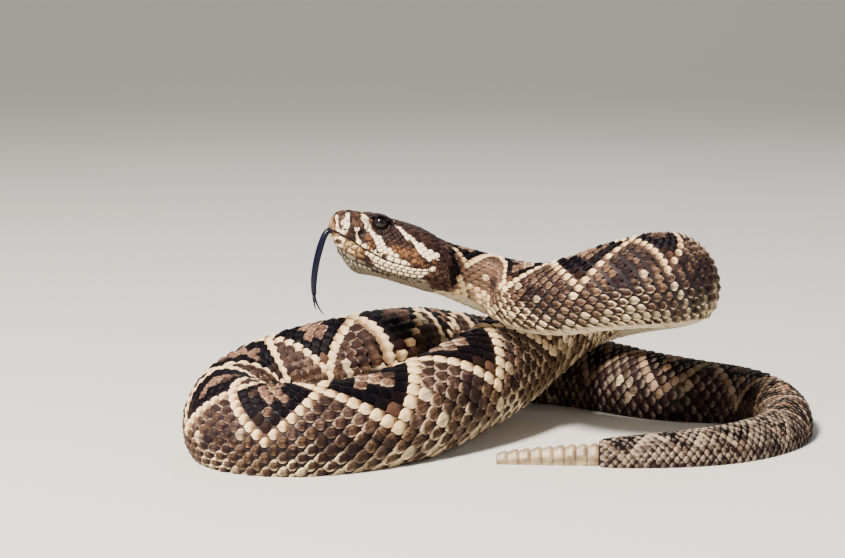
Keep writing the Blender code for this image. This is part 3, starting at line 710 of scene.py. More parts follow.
# The throat's own greys, darkened with painted shade under the head.
THROAT_DARK = (0.145, 0.120, 0.085, 1.0)
THROAT_PALE = (0.31, 0.265, 0.20, 1.0)
SCUTE_BROWN = (0.25, 0.17, 0.10, 1.0)
IRIS_DARK = (0.004, 0.003, 0.004, 1.0)
IRIS_BROWN = (0.020, 0.012, 0.010, 1.0)
IRIS_EDGE = (0.008, 0.006, 0.006, 1.0)
PUPIL = (0.002, 0.002, 0.003, 1.0)
PUPIL_SIZE = (0.26, 0.72)
TONGUE_DARK = (0.002, 0.0015, 0.006, 1.0)
TONGUE_BLUE = (0.008, 0.007, 0.028, 1.0)
HORN_PALE = (0.34, 0.25, 0.14, 1.0)
HORN_BROWN = (0.16, 0.10, 0.055, 1.0)
FLOOR_GREY = (0.64, 0.63, 0.605, 1.0)


class Value:
    """A shader value in a tree. Sums and products with it become math nodes."""

    def __init__(self, tree, socket):
        self.tree = tree
        self.socket = socket

    def __add__(self, other):
        return compute("ADD", self, other)

    def __sub__(self, other):
        return compute("SUBTRACT", self, other)

    def __rsub__(self, other):
        return compute("SUBTRACT", other, self)

    def __mul__(self, other):
        return compute("MULTIPLY", self, other)

    __radd__ = __add__


def node(tree, kind, inputs=None, **settings):
    """Add a node, with a number, a colour or a link for each input given."""
    made = tree.nodes.new(kind)
    for key, value in settings.items():
        setattr(made, key, value)
    for key, value in (inputs or {}).items():
        if isinstance(value, Value):
            tree.links.new(value.socket, made.inputs[key])
        else:
            made.inputs[key].default_value = value
    return made


def tree_of(*values):
    return next(value.tree for value in values if isinstance(value, Value))


def compute(operation, a, b=0.0, clamp=False):
    tree = tree_of(a, b)
    made = node(tree, "ShaderNodeMath", {0: a, 1: b}, operation=operation, use_clamp=clamp)
    return Value(tree, made.outputs[0])


def highest(a, b):
    return compute("MAXIMUM", a, b)


def less(a, b):
    """Take b from a, staying between 0 and 1."""
    return compute("SUBTRACT", a, b, clamp=True)


def band(value, low, high):
    """Rise smoothly from 0 at low to 1 at high."""
    made = node(value.tree, "ShaderNodeMapRange",
                {"Value": value, "From Min": low, "From Max": high},
                interpolation_type="SMOOTHSTEP")
    return Value(value.tree, made.outputs[0])


def blend(share, a, b):
    """Go from colour a to colour b by a share."""
    tree = tree_of(share, a, b)
    made = node(tree, "ShaderNodeMix", {0: share, 6: a, 7: b}, data_type="RGBA")
    return Value(tree, made.outputs[2])


def noise(tree, scale, detail=3.0, roughness=0.55):
    place = Value(tree, node(tree, "ShaderNodeTexCoord").outputs["Object"])
    made = node(tree, "ShaderNodeTexNoise", {"Vector": place, "Scale": scale, "Detail": detail,
                                             "Roughness": roughness})
    return Value(tree, made.outputs[0])


def split(tree, socket):
    parts = node(tree, "ShaderNodeSeparateXYZ", {0: Value(tree, socket)}).outputs
    return [Value(tree, part) for part in parts]


def attribute(tree, name):
    return split(tree, node(tree, "ShaderNodeAttribute", attribute_name=name).outputs["Vector"])


def finish_group(group, outputs):
    """Give a shared group its outputs: a colour where one is named Color, values elsewhere."""
    for label in outputs:
        kind = "NodeSocketColor" if label == "Color" else "NodeSocketFloat"
        group.interface.new_socket(label, in_out="OUTPUT", socket_type=kind)
    node(group, "NodeGroupOutput", outputs)
    return group


def read_group(tree, name):
    """Give the outputs of a shared group by their labels."""
    made = node(tree, "ShaderNodeGroup", node_tree=GROUPS[name])
    return {socket.name: Value(tree, socket) for socket in made.outputs}


def new_material(name, constants):
    """Start a material, with constants on its shader's own sockets."""
    finish = bpy.data.materials.new(name)
    finish.use_nodes = True
    shader = finish.node_tree.nodes["Principled BSDF"]
    for label, value in constants.items():
        shader.inputs[label].default_value = value
    return finish, finish.node_tree


def dress(tree, colour, height=None, distance=0.0):
    """Give a material's shader its colour, and a bump of so many metres."""
    shader = tree.nodes["Principled BSDF"]
    tree.links.new(colour.socket, shader.inputs["Base Color"])
    if height is not None:
        made = node(tree, "ShaderNodeBump", {"Height": height, "Distance": distance,
                                             "Strength": 1.0})
        tree.links.new(made.outputs[0], shader.inputs["Normal"])


def markings_group():
    """The diamonds: tan centre, black band, cream outline, and the flanks' duller brown."""
    group = bpy.data.node_groups.new("diamondback_markings", "ShaderNodeTree")
    depth, row, chance = attribute(group, "mark")
    back = split(group, node(group, "ShaderNodeUVMap", uv_map="OFBake").outputs[0])[0]

    def along(low, high):
        """Rise from 0 to 1 between two distances back from the lips."""
        return band(back, low / PATCH_LENGTH, high / PATCH_LENGTH)

    blotch = noise(group, 260.0, 4.0, 0.6)
    broad = noise(group, 55.0, 3.0, 0.6)
    scribble = noise(group, 950.0, 2.0, 0.5)
    behind_neck = along(0.066, 0.078)
    hind = along(*HIND_FADE)
    tail = along(*TAIL_FADE)
    shaken = depth + (chance - 0.5) * 0.5
    inside = band(shaken, 0.7, 1.3)
    outside = band(shaken, -0.7, -1.3)

    # The diamond's tan centre and its black band, browner at the side corners.
    centre = band(depth + (chance - 0.5) * 2.6, 4.3, 4.8)
    tan = blend(band(scribble, 0.44, 0.53), TAN, PALE_TAN)
    tan = blend(band(broad, 0.47, 0.6) * 0.55, tan, SMUDGE_AND_SHADE)
    corner = band(row, 3.5, 6.0) * behind_neck
    dark = blend(corner * 0.7, BLACK, BROWN)
    dark = blend(corner * band(chance, 0.72, 0.8), dark, TAN)

    # The flank between the diamonds: golden low rows, paler on the neck and the raised loop.
    flank = blend(band(blotch, 0.42, 0.66), FLANK, FLANK_PALE)
    flank = blend(band(chance, 0.55, 0.9) * 0.6, flank, TAN)
    flank = blend(band(scribble, 0.54, 0.44) * 0.5, flank, BROWN)
    golden = band(row, 4.5, 7.5) * band(chance, 0.10, 0.50)
    flank = blend(golden * behind_neck * 0.55, flank, GOLDEN)
    flank = blend(band(scribble, 0.52, 0.44) * golden, flank, BROWN)
    flank = blend(along(0.055, 0.062) * along(0.100, 0.085) * 0.6, flank, PALE_TAN)
    loop = along(0.100, 0.130) * along(0.320, 0.290)
    flank = blend(loop * 0.5 * band(chance, 0.25, 0.75), flank, PALE_TAN)

    # Dark smudges and spots on the flank, and single cream scales low on it.
    deep = band(shaken, -4.2, -6.5) * band(row, 4.5, 6.5) * band(row, 11.0, 8.5)
    deep = highest(deep * band(broad, 0.40, 0.50), band(row, 4.8, 2.6) * 0.8)
    flank = blend(deep, flank, SMUDGE_AND_SHADE)
    spots = band(noise(group, 88.0, 2.0, 0.5), 0.525, 0.575)
    spots = spots * (band(row, 3.0, 4.5) * band(row, 10.0, 8.0)) * outside * behind_neck
    flank = blend(spots * 0.9, flank, SMUDGE_AND_SHADE)
    flank = blend(band(row, 8.5, 9.5) * band(broad, 0.5, 0.56) * 0.8, flank, BROWN)
    lone = highest(band(chance, 0.955, 0.963), band(chance, 0.900, 0.910) * band(row, 5.0, 7.0))
    pale_low = band(row, 9.6, 11.8) * band(chance, 0.40, 0.55) * behind_neck
    flank = blend(highest(pale_low * 0.8, lone * behind_neck), flank, CREAM)

    # The hind body is duller, and the tail is ashy with smoky scales.
    cream = blend(band(blotch, 0.45, 0.75), CREAM, WARM_CREAM)
    dull = blend(band(chance, 0.35, 0.75), FLANK, FLANK_PALE)
    cream = blend(hind * 0.9, cream, dull)
    flank = blend(hind * band(broad, 0.70, 0.5), flank, SMUDGE_AND_SHADE)
    smoky = band(noise(group, 150.0, 3.0, 0.6), 0.41, 0.51)
    ashy = blend(band(blotch, 0.48, 0.72), ASH, ASH_PALE)
    flank = blend(tail, flank, blend(smoky, ashy, SMUDGE_AND_SHADE))
    cream = blend(tail, cream, blend(smoky * 0.85, ASH_PALE, SMUDGE_AND_SHADE))

    colour = blend(inside, cream, dark)
    colour = blend(centre * (1.0 - tail), colour, tan)
    colour = blend(outside, colour, flank)
    return finish_group(group, {
        "Color": colour, "Cream": less(less(1.0, inside), outside),
        "Black": highest(less(inside, centre), spots * 0.75), "Flank": outside, "Hind": hind,
        "Low": band(row, 6.0, 10.5) * outside * behind_neck, "Neck": along(0.066, 0.058),
        "Tail": tail})


def leaf_group():
    """Where a point is on its scale: rim, root and keel masks, and fine lines along it."""
    group = bpy.data.node_groups.new("scale_places", "ShaderNodeTree")
    across, along, under = attribute(group, "leaf")
    side = compute("ABSOLUTE", across)
    ridges = compute("SINE", across * 26.0)
    return finish_group(group, {
        "Rim": highest(band(side, 0.70, 0.88), band(along, 0.84, 0.95)),
        "Wide Rim": highest(band(side, 0.52, 0.78), band(along, 0.70, 0.90)),
        "Root": band(along, 0.50, 0.16), "Keel": band(side, 0.26, 0.02), "Tip": along,
        "Under": band(under, 0.15, 0.75),
        "Height": noise(group, 2600.0, 3.0, 0.6) * 0.8 + ridges * 0.12})


def scales_material():
    finish, tree = new_material("body_scales", {"Specular IOR Level": 0.06})
    marks = read_group(tree, "markings")
    leaf = read_group(tree, "leaf")
    tip = leaf["Tip"]
    hind = marks["Hind"]
    middle = less(1.0, leaf["Rim"])
    dull = less(less(1.0, marks["Cream"]), marks["Black"])
    low = marks["Low"] * (1.0 - hind)
    patchy = band(noise(tree, 140.0, 3.0), 0.36, 0.60)
    colour = blend(middle * dull * 0.35, marks["Color"], BROWN)
    colour = blend(low * dull * 0.3, colour, BROWN)

    # Pale rims, wider on the low rows and missing in places.
    pale = highest(leaf["Rim"] * patchy, band(tip, 0.80, 0.95))
    pale = highest(pale, leaf["Wide Rim"] * (low * band(noise(tree, 420.0, 2.0), 0.38, 0.52)))
    pale = pale * (dull * (low * 0.35 + 0.60))
    pale = pale * (band(noise(tree, 62.0, 2.0), 0.46, 0.58) * 0.85 + 0.15)
    fore = 1.0 - highest(hind * 0.85, marks["Neck"] * 0.7)
    colour = blend(pale * fore, colour, blend(low, RIM, CREAM))

    # Ashy tips on the hind body and the tail.
    ashy = band(tip, 0.45, 0.85) * middle * (hind * 0.55)
    colour = blend(ashy * patchy, colour, ASH_PALE)
    tipped = band(tip, 0.35, 0.75) * band(noise(tree, 230.0, 2.0), 0.47, 0.58)
    colour = blend(tipped * marks["Tail"] * 0.75, colour, ASH_PALE)

    # Cream scales are worn in random patches, and painted shade makes them warmer towards the
    # root. Keels on the flank are dark, and painted shade darkens the roots and undersides.
    warm = marks["Cream"] * (1.0 - hind * 0.85)
    worn = middle * warm * band(noise(tree, 900.0, 4.0), 0.42, 0.66)
    colour = blend(worn * 0.45, colour, WARM_CREAM)
    # Painted shade: cream scales turn warmer towards the root, under the scale ahead.
    colour = blend(band(tip, 0.72, 0.25) * warm * 0.6, colour, WARM_CREAM)
    colour = blend(leaf["Keel"] * (marks["Flank"] * 0.5), colour, SMUDGE_AND_SHADE)
    # Painted shade on the roots and undersides of the scales: dark, and rusty on cream scales.
    shadow = blend(warm, SMUDGE_AND_SHADE, RUST)
    colour = blend(leaf["Root"] * 0.8, colour, shadow)
    colour = blend(leaf["Under"], colour, shadow)
    rough = node(tree, "ShaderNodeMapRange", {"Value": noise(tree, 900.0), "From Min": 0.3,
                                              "From Max": 0.7, "To Min": 0.42, "To Max": 0.62})
    tree.links.new(rough.outputs[0], tree.nodes["Principled BSDF"].inputs["Roughness"])
    dress(tree, colour, leaf["Height"], 0.00010)
    return finish


def skin_material():
    finish, tree = new_material("skin_between", {"Roughness": 0.62, "Specular IOR Level": 0.2})
    marks = read_group(tree, "markings")
    shade = blend(0.94, marks["Color"], MAUVE)
    shade = blend(marks["Black"] * 0.75, shade, BLACK)
    shade = blend(marks["Cream"] * 0.5, shade, RUST)
    shade = blend(noise(tree, 700.0) * 0.5, shade, SMUDGE_AND_SHADE)
    on_head, shaded, _ = attribute(tree, "leaf")
    head = blend(shaded, read_group(tree, "head")["Color"], SMUDGE_AND_SHADE)
    dress(tree, blend(on_head, shade, head), noise(tree, 1800.0, 4.0), 0.0002)
    return finish


def scutes_material():
    finish, tree = new_material("belly_scutes", {"Roughness": 0.36})
    across, along, _ = attribute(tree, "leaf")
    colour = blend(band(noise(tree, 190.0, 4.0, 0.62), 0.5, 0.72), IVORY, SCUTE_BROWN)
    colour = blend(band(compute("ABSOLUTE", across), 0.55, 1.0) * 0.35, colour, TAN)
    colour = blend(band(along, 0.86, 0.99) * 0.5, colour, CREAM)
    dress(tree, colour, read_group(tree, "leaf")["Height"], 0.00005)
    return finish


def set_scene():
    """Pale floor that sweeps up behind, soft studio light, and the photographed view."""
    bm = bmesh.new()
    edge = [bm.verts.new(place) for place in
            ((-6.0, -3.0, 0.0), (-6.0, 2.2, 0.0), (-6.0, 3.2, 0.14), (-6.0, 4.0, 0.6),
             (-6.0, 4.4, 1.4), (-6.0, 4.5, 4.0))]
    runs = [bm.edges.new(pair) for pair in zip(edge, edge[1:])]
    made = bmesh.ops.extrude_edge_only(bm, edges=runs)["geom"]
    bmesh.ops.translate(bm, vec=(12.0, 0, 0),
                        verts=[v for v in made if isinstance(v, bmesh.types.BMVert)])
    bmesh.ops.recalc_face_normals(bm, faces=bm.faces)
    floor = bpy.data.objects.new("floor", mesh_from(bm, "floor"))
    bpy.context.scene.collection.objects.link(floor)
    finish, _ = new_material("pale_floor", {"Roughness": 0.85, "Base Color": FLOOR_GREY})
    floor.data.materials.append(finish)
    smooth = floor.modifiers.new("sweep", "SUBSURF")
    smooth.levels = 2
    smooth.render_levels = 2

    aim = Vector((0.0, 0.0, 0.05))
    for place, size, power, tint in (
            ((-0.9, -1.2, 1.7), 0.5, 192.0, (1.0, 0.92, 0.81)),
            ((1.6, -0.9, 1.0), 1.4, 5.0, (0.90, 0.95, 1.0)),
            ((0.2, 1.6, 1.5), 1.2, 9.0, (1.0, 1.0, 1.0))):
        light = bpy.data.lights.new("softbox", "AREA")
        light.shape = "DISK"
        light.size = size
        light.energy = power
        light.color = tint
        lamp = bpy.data.objects.new("softbox", light)
        lamp.location = place
        lamp.rotation_euler = (aim - lamp.location).to_track_quat("-Z", "Y").to_euler()
        bpy.context.scene.collection.objects.link(lamp)
    world = bpy.data.worlds.new("studio")
    world.use_nodes = True
    sky = world.node_tree.nodes["Background"]
    sky.inputs["Color"].default_value = (0.93, 0.95, 1.0, 1.0)
    sky.inputs["Strength"].default_value = 0.21
    bpy.context.scene.world = world

    camera = bpy.data.objects.new("camera", bpy.data.cameras.new("camera"))
    camera.data.lens = CAMERA_LENS
    camera.data.sensor_width = 36.0
    camera.data.clip_start = 0.05
    camera.location = CAMERA_PLACE
    camera.rotation_euler = (math.pi / 2 - CAMERA_PITCH, 0.0, 0.0)
    bpy.context.scene.collection.objects.link(camera)
    bpy.context.scene.camera = camera


# The head's own axes at the lips, and its plates and small scales.
HEAD_ORIGIN = spine_point(0.0)
HEAD_BACK, HEAD_RIGHT, HEAD_UP = spine_frame(STRAIGHT_HEAD / 2)
HEAD_TURN = Matrix((HEAD_BACK, HEAD_RIGHT, HEAD_UP)).transposed().to_4x4()
BROW_CENTRE = (0.0176, 0.0082)
BROW_LEVEL = {-1: 0.0142, 1: 0.0135}
BROW_SIZE = (0.0060, 0.0035, 0.0006)
BROW_TILT = math.radians(3)
THROAT_EDGE = ((0.0, -5.6), (4.4, -5.7), (8.5, -6.9), (13.7, -8.2), (17.1, -8.8), (22.6, -9.0),
               (28.2, -9.7), (32.5, -9.4), (37.4, -8.6), (40.5, -7.6), (43.2, -7.4),
               (46.0, -8.6), (54.0, -9.8))
MENTAL_SPOT = (2.7, -3.3)
NECK_PATCH = ((48.7, 8.0), (54.6, 9.3), (54.4, 5.2), (57.1, 3.2), (59.3, 1.0), (60.4, -2.2),
              (59.7, -4.7), (57.5, -6.1), (52.5, -4.9), (52.3, -0.5), (52.8, 2.3), (51.3, 5.7))
EYE_LINE = ((23.5, 13.6), (23.8, 13.2), (24.8, 12.4), (26.0, 11.8), (27.3, 11.2), (29.2, 10.6),
            (30.2, 9.7), (31.4, 8.9), (32.6, 7.9), (34.2, 7.7), (35.3, 7.5), (36.8, 6.8),
            (37.7, 6.3), (40.1, 6.1), (41.5, 5.6), (43.3, 5.3), (45.5, 5.0), (47.2, 3.8),
            (45.9, 2.3), (43.4, 2.1), (41.9, 1.4), (39.5, 1.4), (37.8, 2.4), (37.0, 3.1),
            (35.8, 4.1), (34.1, 5.2), (32.3, 6.2), (31.1, 6.9), (29.8, 7.5), (28.7, 8.2),
            (27.8, 9.1), (26.4, 9.7), (25.4, 10.4), (24.1, 11.3), (22.9, 12.4))
TEMPLE = ((22.9, 12.4), (24.1, 11.3), (26.4, 9.7), (28.7, 8.2), (31.1, 6.9), (34.1, 5.2),
          (37.0, 3.1), (39.5, 1.4), (38.0, 0.0), (34.1, -3.0), (32.9, -2.3), (31.6, -1.5),
          (29.8, -1.3), (27.8, -1.0), (26.3, -0.5), (24.4, 0.2), (23.3, 0.8), (22.0, 2.0),
          (20.4, 3.1), (18.9, 4.0), (17.3, 4.9), (15.6, 6.1), (14.4, 6.8), (13.8, 9.0),
          (13.8, 12.2), (18.0, 13.6), (22.0, 13.4))
RUSTY_TEMPLE = ((22.8, 2.2), (25.2, 3.2), (27.8, 3.6), (29.9, 4.7), (32.2, 4.8), (34.4, 3.8),
                (36.2, 2.9), (37.8, 1.7), (39.6, 0.8), (41.9, 0.9), (44.5, 1.3), (46.0, 0.6),
                (45.5, -0.6), (43.5, -1.7), (41.6, -2.5), (39.8, -3.3), (37.8, -3.9),
                (35.0, -4.3), (33.6, -3.9), (32.4, -2.6), (31.6, -1.8), (29.8, -1.5),
                (27.8, -1.2), (26.3, -0.7), (24.4, 0.0), (23.3, 0.6))
CHEEK = ((13.2, 4.4), (13.9, 6.9), (15.6, 6.1), (17.3, 4.9), (18.9, 4.0), (20.4, 3.1),
         (22.0, 2.0), (23.3, 0.8), (24.4, 0.2), (26.3, -0.5), (27.8, -1.0), (29.8, -1.3),
         (31.6, -1.5), (32.9, -2.3), (34.3, -3.3), (34.3, -4.6), (30.5, -4.7), (26.8, -5.0),
         (24.5, -4.8), (20.9, -4.6), (18.0, -4.1), (15.6, -3.8), (15.2, -2.4), (16.9, -2.2),
         (18.1, -1.5), (18.2, 0.0), (17.3, 1.4), (15.6, 2.7), (14.3, 3.6))
LOWER_LIP = ((14.4, -3.0), (18.0, -3.6), (20.9, -4.1), (24.5, -4.4), (30.5, -4.4), (34.1, -4.2),
             (37.8, -3.7), (41.6, -2.4), (43.5, -1.5), (44.6, -0.8), (44.4, -2.6), (42.8, -5.4),
             (40.5, -7.6), (37.4, -8.8), (32.5, -9.6), (28.2, -9.9), (22.6, -9.2), (19.5, -8.2),
             (16.5, -5.6), (14.4, -5.2))
NOSE_FRONT = ((-4.0, 9.2), (-1.5, 8.6), (-1.8, 7.2), (-1.7, 5.6), (-1.2, 3.8), (-0.6, 1.8),
              (0.4, 0.8), (-0.5, -0.6), (-4.0, -0.6))
JAW_CORNER = ((44.2, -3.6), (44.8, -0.8), (47.5, 0.8), (52.0, 2.0), (52.3, -1.0), (52.2, -5.0),
              (50.0, -8.4), (43.0, -8.2))
NOSE_BAR = ((-1.1, 8.7), (-0.8, 8.9), (-0.8, 7.7), (-0.7, 5.9), (-0.2, 4.4), (0.5, 2.9),
            (1.2, 1.9), (1.8, 1.3), (1.5, 0.5), (0.4, 0.8), (-0.6, 1.8), (-1.2, 3.8),
            (-1.7, 5.6), (-1.8, 7.2))
SNOUT_BAR = ((2.0, 10.4), (4.0, 11.2), (3.4, 8.7), (3.9, 6.7), (4.6, 6.0), (4.5, 5.3),
             (4.1, 3.9), (4.1, 2.6), (3.9, 1.3), (4.0, 0.0), (2.5, 0.1), (1.8, 1.3), (1.9, 2.3),
             (1.3, 3.9), (0.3, 4.6), (0.5, 6.1), (1.7, 8.2), (1.7, 9.4))
SNOUT_STRIPE = ((4.0, 11.3), (5.1, 11.4), (4.5, 10.0), (4.4, 8.4), (4.9, 6.9), (5.3, 5.7),
                (4.6, 5.0), (4.2, 6.4), (3.7, 7.5), (3.4, 9.3))
EYE_BAR = ((8.7, 11.9), (9.9, 12.3), (10.4, 12.0), (10.5, 11.5), (11.6, 11.4), (12.0, 10.4),
           (12.3, 9.2), (13.0, 8.0), (14.0, 7.2), (14.4, 6.2), (13.8, 5.2), (12.5, 4.9),
           (11.4, 5.5), (10.4, 6.1), (10.7, 7.1), (10.1, 8.1), (9.1, 9.1), (8.3, 10.0),
           (9.0, 10.8))
EYE_FRONT = ((12.3, 11.6), (13.7, 11.6), (13.9, 9.3), (13.7, 7.7), (13.0, 8.5), (12.3, 10.2))
PIT_HOLLOW = ((9.1, 4.9), (11.0, 5.2), (12.0, 4.3), (11.8, 3.2), (10.9, 2.7), (9.7, 2.4),
              (8.9, 3.5))
PIT_BAR = ((6.6, 5.3), (8.6, 5.9), (8.9, 4.9), (8.3, 3.6), (8.8, 2.1), (10.2, 0.6), (11.4, -0.2),
           (11.6, -1.6), (10.2, -1.9), (8.6, -1.2), (8.2, 1.0), (8.0, 2.4), (7.1, 3.8),
           (6.3, 4.2))
DARK_LIP = ((4.7, 5.1), (5.7, 5.2), (6.4, 3.9), (7.4, 2.7), (8.4, 1.0), (8.2, 0.0), (6.5, 0.2),
            (4.5, 0.2), (3.9, 0.5), (4.3, 2.1), (4.3, 3.5), (4.3, 4.4))
LIP_RIM = ((3.9, 0.1), (5.7, -0.3), (7.5, -0.4), (8.7, -0.8), (8.6, -1.5), (6.4, -1.0),
           (4.7, -0.6))
LIP_SPOT = ((12.6, -0.8), (13.8, 0.6), (14.8, -0.8), (14.9, -2.5), (13.8, -3.1), (12.0, -2.3),
            (11.4, -1.5))
LIP_PATCH = ((10.1, 1.9), (11.9, 3.2), (13.0, 3.6), (14.3, 3.6), (15.6, 2.7), (17.3, 1.4),
             (18.2, -0.0), (18.1, -1.5), (16.9, -2.2), (15.5, -2.3), (14.8, -0.4), (14.0, 0.7),
             (12.8, 1.0), (11.1, 1.2))
# Each marking with its tones: cream, dark, rust, and how dark its edge is.
ALL_CREAM = (1.0, 0.0, 0.0, 0.0)
HEAD_MARKINGS = (
    (TEMPLE, (0.0, 0.84, 0.06, 0.4)), (RUSTY_TEMPLE, (0.0, 0.05, 1.0, 0.3)),
    (CHEEK, ALL_CREAM), (EYE_LINE, ALL_CREAM), (LOWER_LIP, ALL_CREAM), (SNOUT_BAR, ALL_CREAM),
    (NOSE_FRONT, (0.0, 0.0, 1.42, 0.0)), (JAW_CORNER, (0.0, 0.38, 0.05, 0.3)),
    (NOSE_BAR, ALL_CREAM), (SNOUT_STRIPE, (0.0, 1.0, 0.0, 0.0)), (EYE_BAR, ALL_CREAM),
    (EYE_FRONT, (0.0, 0.5, 0.4, 0.3)), (DARK_LIP, (0.0, 0.75, 0.1, 0.4)), (PIT_BAR, ALL_CREAM),
    (LIP_RIM, ALL_CREAM), (LIP_PATCH, (0.0, 0.1, 0.8, 0.8)), (LIP_SPOT, ALL_CREAM),
    (PIT_HOLLOW, (0.0, 1.0, 0.0, 0.0)),
)
BROWN_SPOTS = ((19.3, -2.1, 0.8), (22.2, -3.0, 1.0), (39.2, 4.4, 0.8), (41.7, 2.9, 0.7),
               (43.3, 4.3, 0.9), (45.4, 3.4, 0.7), (2.9, 2.9, 0.6))


def head_coordinates(points):
    """Turn world points to distances back, right and up from the lips."""
    off = points - HEAD_ORIGIN
    return off @ HEAD_BACK, off @ HEAD_RIGHT, off @ HEAD_UP


def head_world(where, right, up):
    """Turn distances back, right and up from the lips to a world point."""
    back, side, rise = (axis[0] for axis in spine_frame([max(where, 0.0)]))
    centre = spine_point([max(where, 0.0)])[0] + back * min(where, 0.0)
    return Vector(centre + side * right + rise * up)


def line_distance(s, z, line):
    """Give the distance of many places to a line of points."""
    best = np.full(np.shape(s), np.inf)
    for a, b in zip(line, line[1:]):
        run = (b[0] - a[0], b[1] - a[1])
        t = ((s - a[0]) * run[0] + (z - a[1]) * run[1]) / (run[0] ** 2 + run[1] ** 2)
        t = np.clip(t, 0.0, 1.0)
        best = np.minimum(best, np.hypot(s - a[0] - t * run[0], z - a[1] - t * run[1]))
    return best


def soft_step(value, low, high):
    t = np.clip((value - low) / (high - low), 0.0, 1.0)
    return t * t * (3 - 2 * t)


def inside_shape(s, z, shape):
    """Give how far many places lie inside a closed outline, negative outside."""
    closed = shape + shape[:1]
    inside = np.zeros(np.shape(s), dtype=bool)
    for (s0, z0), (s1, z1) in zip(closed, closed[1:]):
        if z0 != z1:
            inside ^= ((z0 > z) != (z1 > z)) & (s < s0 + (z - z0) * (s1 - s0) / (z1 - z0))
    off = line_distance(s, z, closed)
    return np.where(inside, off, -off)


def head_tones(s, x, z):
    """Say how cream, how dark and how rusty the head is at many places, given in metres."""
    s, x, z = s / MM, np.abs(x) / MM, z / MM
    mouth = mouth_level(s * MM) / MM
    throat = np.interp(s, [p[0] for p in THROAT_EDGE], [p[1] for p in THROAT_EDGE])
    cream = np.zeros_like(s)
    dark = np.where(s > 14, 0.84, 0.40)
    rust = np.where(s > 14, 0.06, 0.26)
    under = (z < mouth) & (s >= 14.5) & (s < 44)
    dark = np.where(under, 0.0, dark)
    rust = np.where(under, -0.7, rust)
    lower = (z < mouth) & (s < 14.5) & (z > throat)
    spot = np.hypot(s - MENTAL_SPOT[0], z - MENTAL_SPOT[1])
    tan = soft_step(s, 9.0, 14.5)
    rust = np.where(lower, np.where(spot < 1.1, 0.5, 2.0 - 0.9 * tan), rust)
    dark = np.where(lower, np.where(spot < 1.1, 0.3, 0.0), dark)
    cream = np.where(lower, soft_step(np.abs(spot - 1.9), 0.8, 0.3), cream)
    for shape, (pale, deep, rusty, edged) in HEAD_MARKINGS:
        off = inside_shape(s, z, shape)
        over = soft_step(off, -0.22, 0.22)
        if shape in (TEMPLE, RUSTY_TEMPLE, EYE_LINE):
            over = over * soft_step(x, 4.0, 6.0)
        edge = soft_step(off, 0.55, 0.15) * edged
        cream = cream * (1 - over) + pale * over
        dark = dark * (1 - over) + np.maximum(deep, edge) * over
        rust = rust * (1 - over) + rusty * over
    black = soft_step(inside_shape(s, z, NECK_PATCH), -0.3, 0.3)
    dark = np.maximum(dark, black)
    cream = cream * (1 - black)
    for back, up, reach in BROWN_SPOTS:
        patch = soft_step(np.hypot(s - back, z - up) / reach, 1.15, 0.8)
        cream = cream * (1 - patch)
        rust = np.maximum(rust, 0.5 * patch)
    # Painted shade: a dark line along the crease of the mouth.
    gape = np.interp(s, (0.0, 5.0, 14.0), (0.62, 0.50, 0.32))
    crease_shade = soft_step(np.abs(z - mouth), gape, gape / 2) * (s < 45.5) * (x > 3)
    cream = cream * (1 - crease_shade)
    dark = np.maximum(dark, crease_shade)
    rust = rust * (1 - crease_shade)
    # Below the throat's edge the head turns to the throat's greys, which hold painted shade.
    below = z < throat
    grey = soft_step(throat - z, -0.6, 1.2)
    cream = np.where(below, cream * (1 - grey), cream)
    return cream, np.where(below, 0.0, dark), np.where(below, -grey, rust)


PLATE = leaf_template(6, 6)
PLATE_ROUNDING = 0.55
PLATE_GAP = 0.00005
PLATE_HEIGHT = 0.00048


def plate_points(quad, height):
    """Bend one plate over the skin between four corner points of the world."""
    corners, _ = PLATE
    p, r = corners[:, 0] * 2 - 1, corners[:, 1]
    p, r = (near * np.sqrt(1 - PLATE_ROUNDING * far * far / 2) for near, far in ((p, r), (r, p)))
    a, b, c, d = [np.array(point) for point in quad]
    wide = (np.linalg.norm(b - a) + np.linalg.norm(c - d)) / 2
    tall = (np.linalg.norm(d - a) + np.linalg.norm(c - b)) / 2
    u, v = (0.5 + place / 2 * max(1 - 2 * PLATE_GAP / max(size, 1e-6), 0.5)
            for place, size in ((p, wide), (r, tall)))
    guide = (np.outer((1 - u) * (1 - v), a) + np.outer(u * (1 - v), b)
             + np.outer(u * v, c) + np.outer((1 - u) * v, d))
    dome = (1 - np.abs(p) ** 3.2) * (1 - np.abs(r) ** 3.2)
    rise = np.where(corners[:, 2] > 0.5, -0.5, 0.30 + 0.70 * dome) * height
    points = np.zeros_like(guide)
    for k, place in enumerate(guide):
        hit, normal, _, _ = SKIN_TREE.find_nearest(Vector(place))
        points[k] = np.array(hit + normal * rise[k])
    return points


def skin_place(start, direction, near):
    """Give the skin's point that a ray meets, or else the one nearest to another place."""
    hit = SKIN_TREE.ray_cast(start, Vector(direction))[0]
    return SKIN_TREE.find_nearest(near)[0] if hit is None else hit


def side_place(side, where, up):
    """Give the skin's point on one side of the head, at a distance and a level in mm."""
    where, up = where * MM, up * MM
    return skin_place(head_world(where, side * 0.04, up), HEAD_RIGHT * -side,
                      head_world(where, side * 0.004, up))


def top_place(side, where, right):
    """Give the skin's point on top of the head, at a distance and a reach sideways in mm."""
    where, right = where * MM, side * right * MM
    return skin_place(head_world(where, right, 0.04), -HEAD_UP, head_world(where, right, 0.01))


def front_place(right, up):
    """Give the skin's point on the snout's front, at a reach sideways and a level in mm."""
    right, up = right * MM, up * MM
    return skin_place(head_world(-0.03, right, up), HEAD_BACK, head_world(-0.001, right, up))


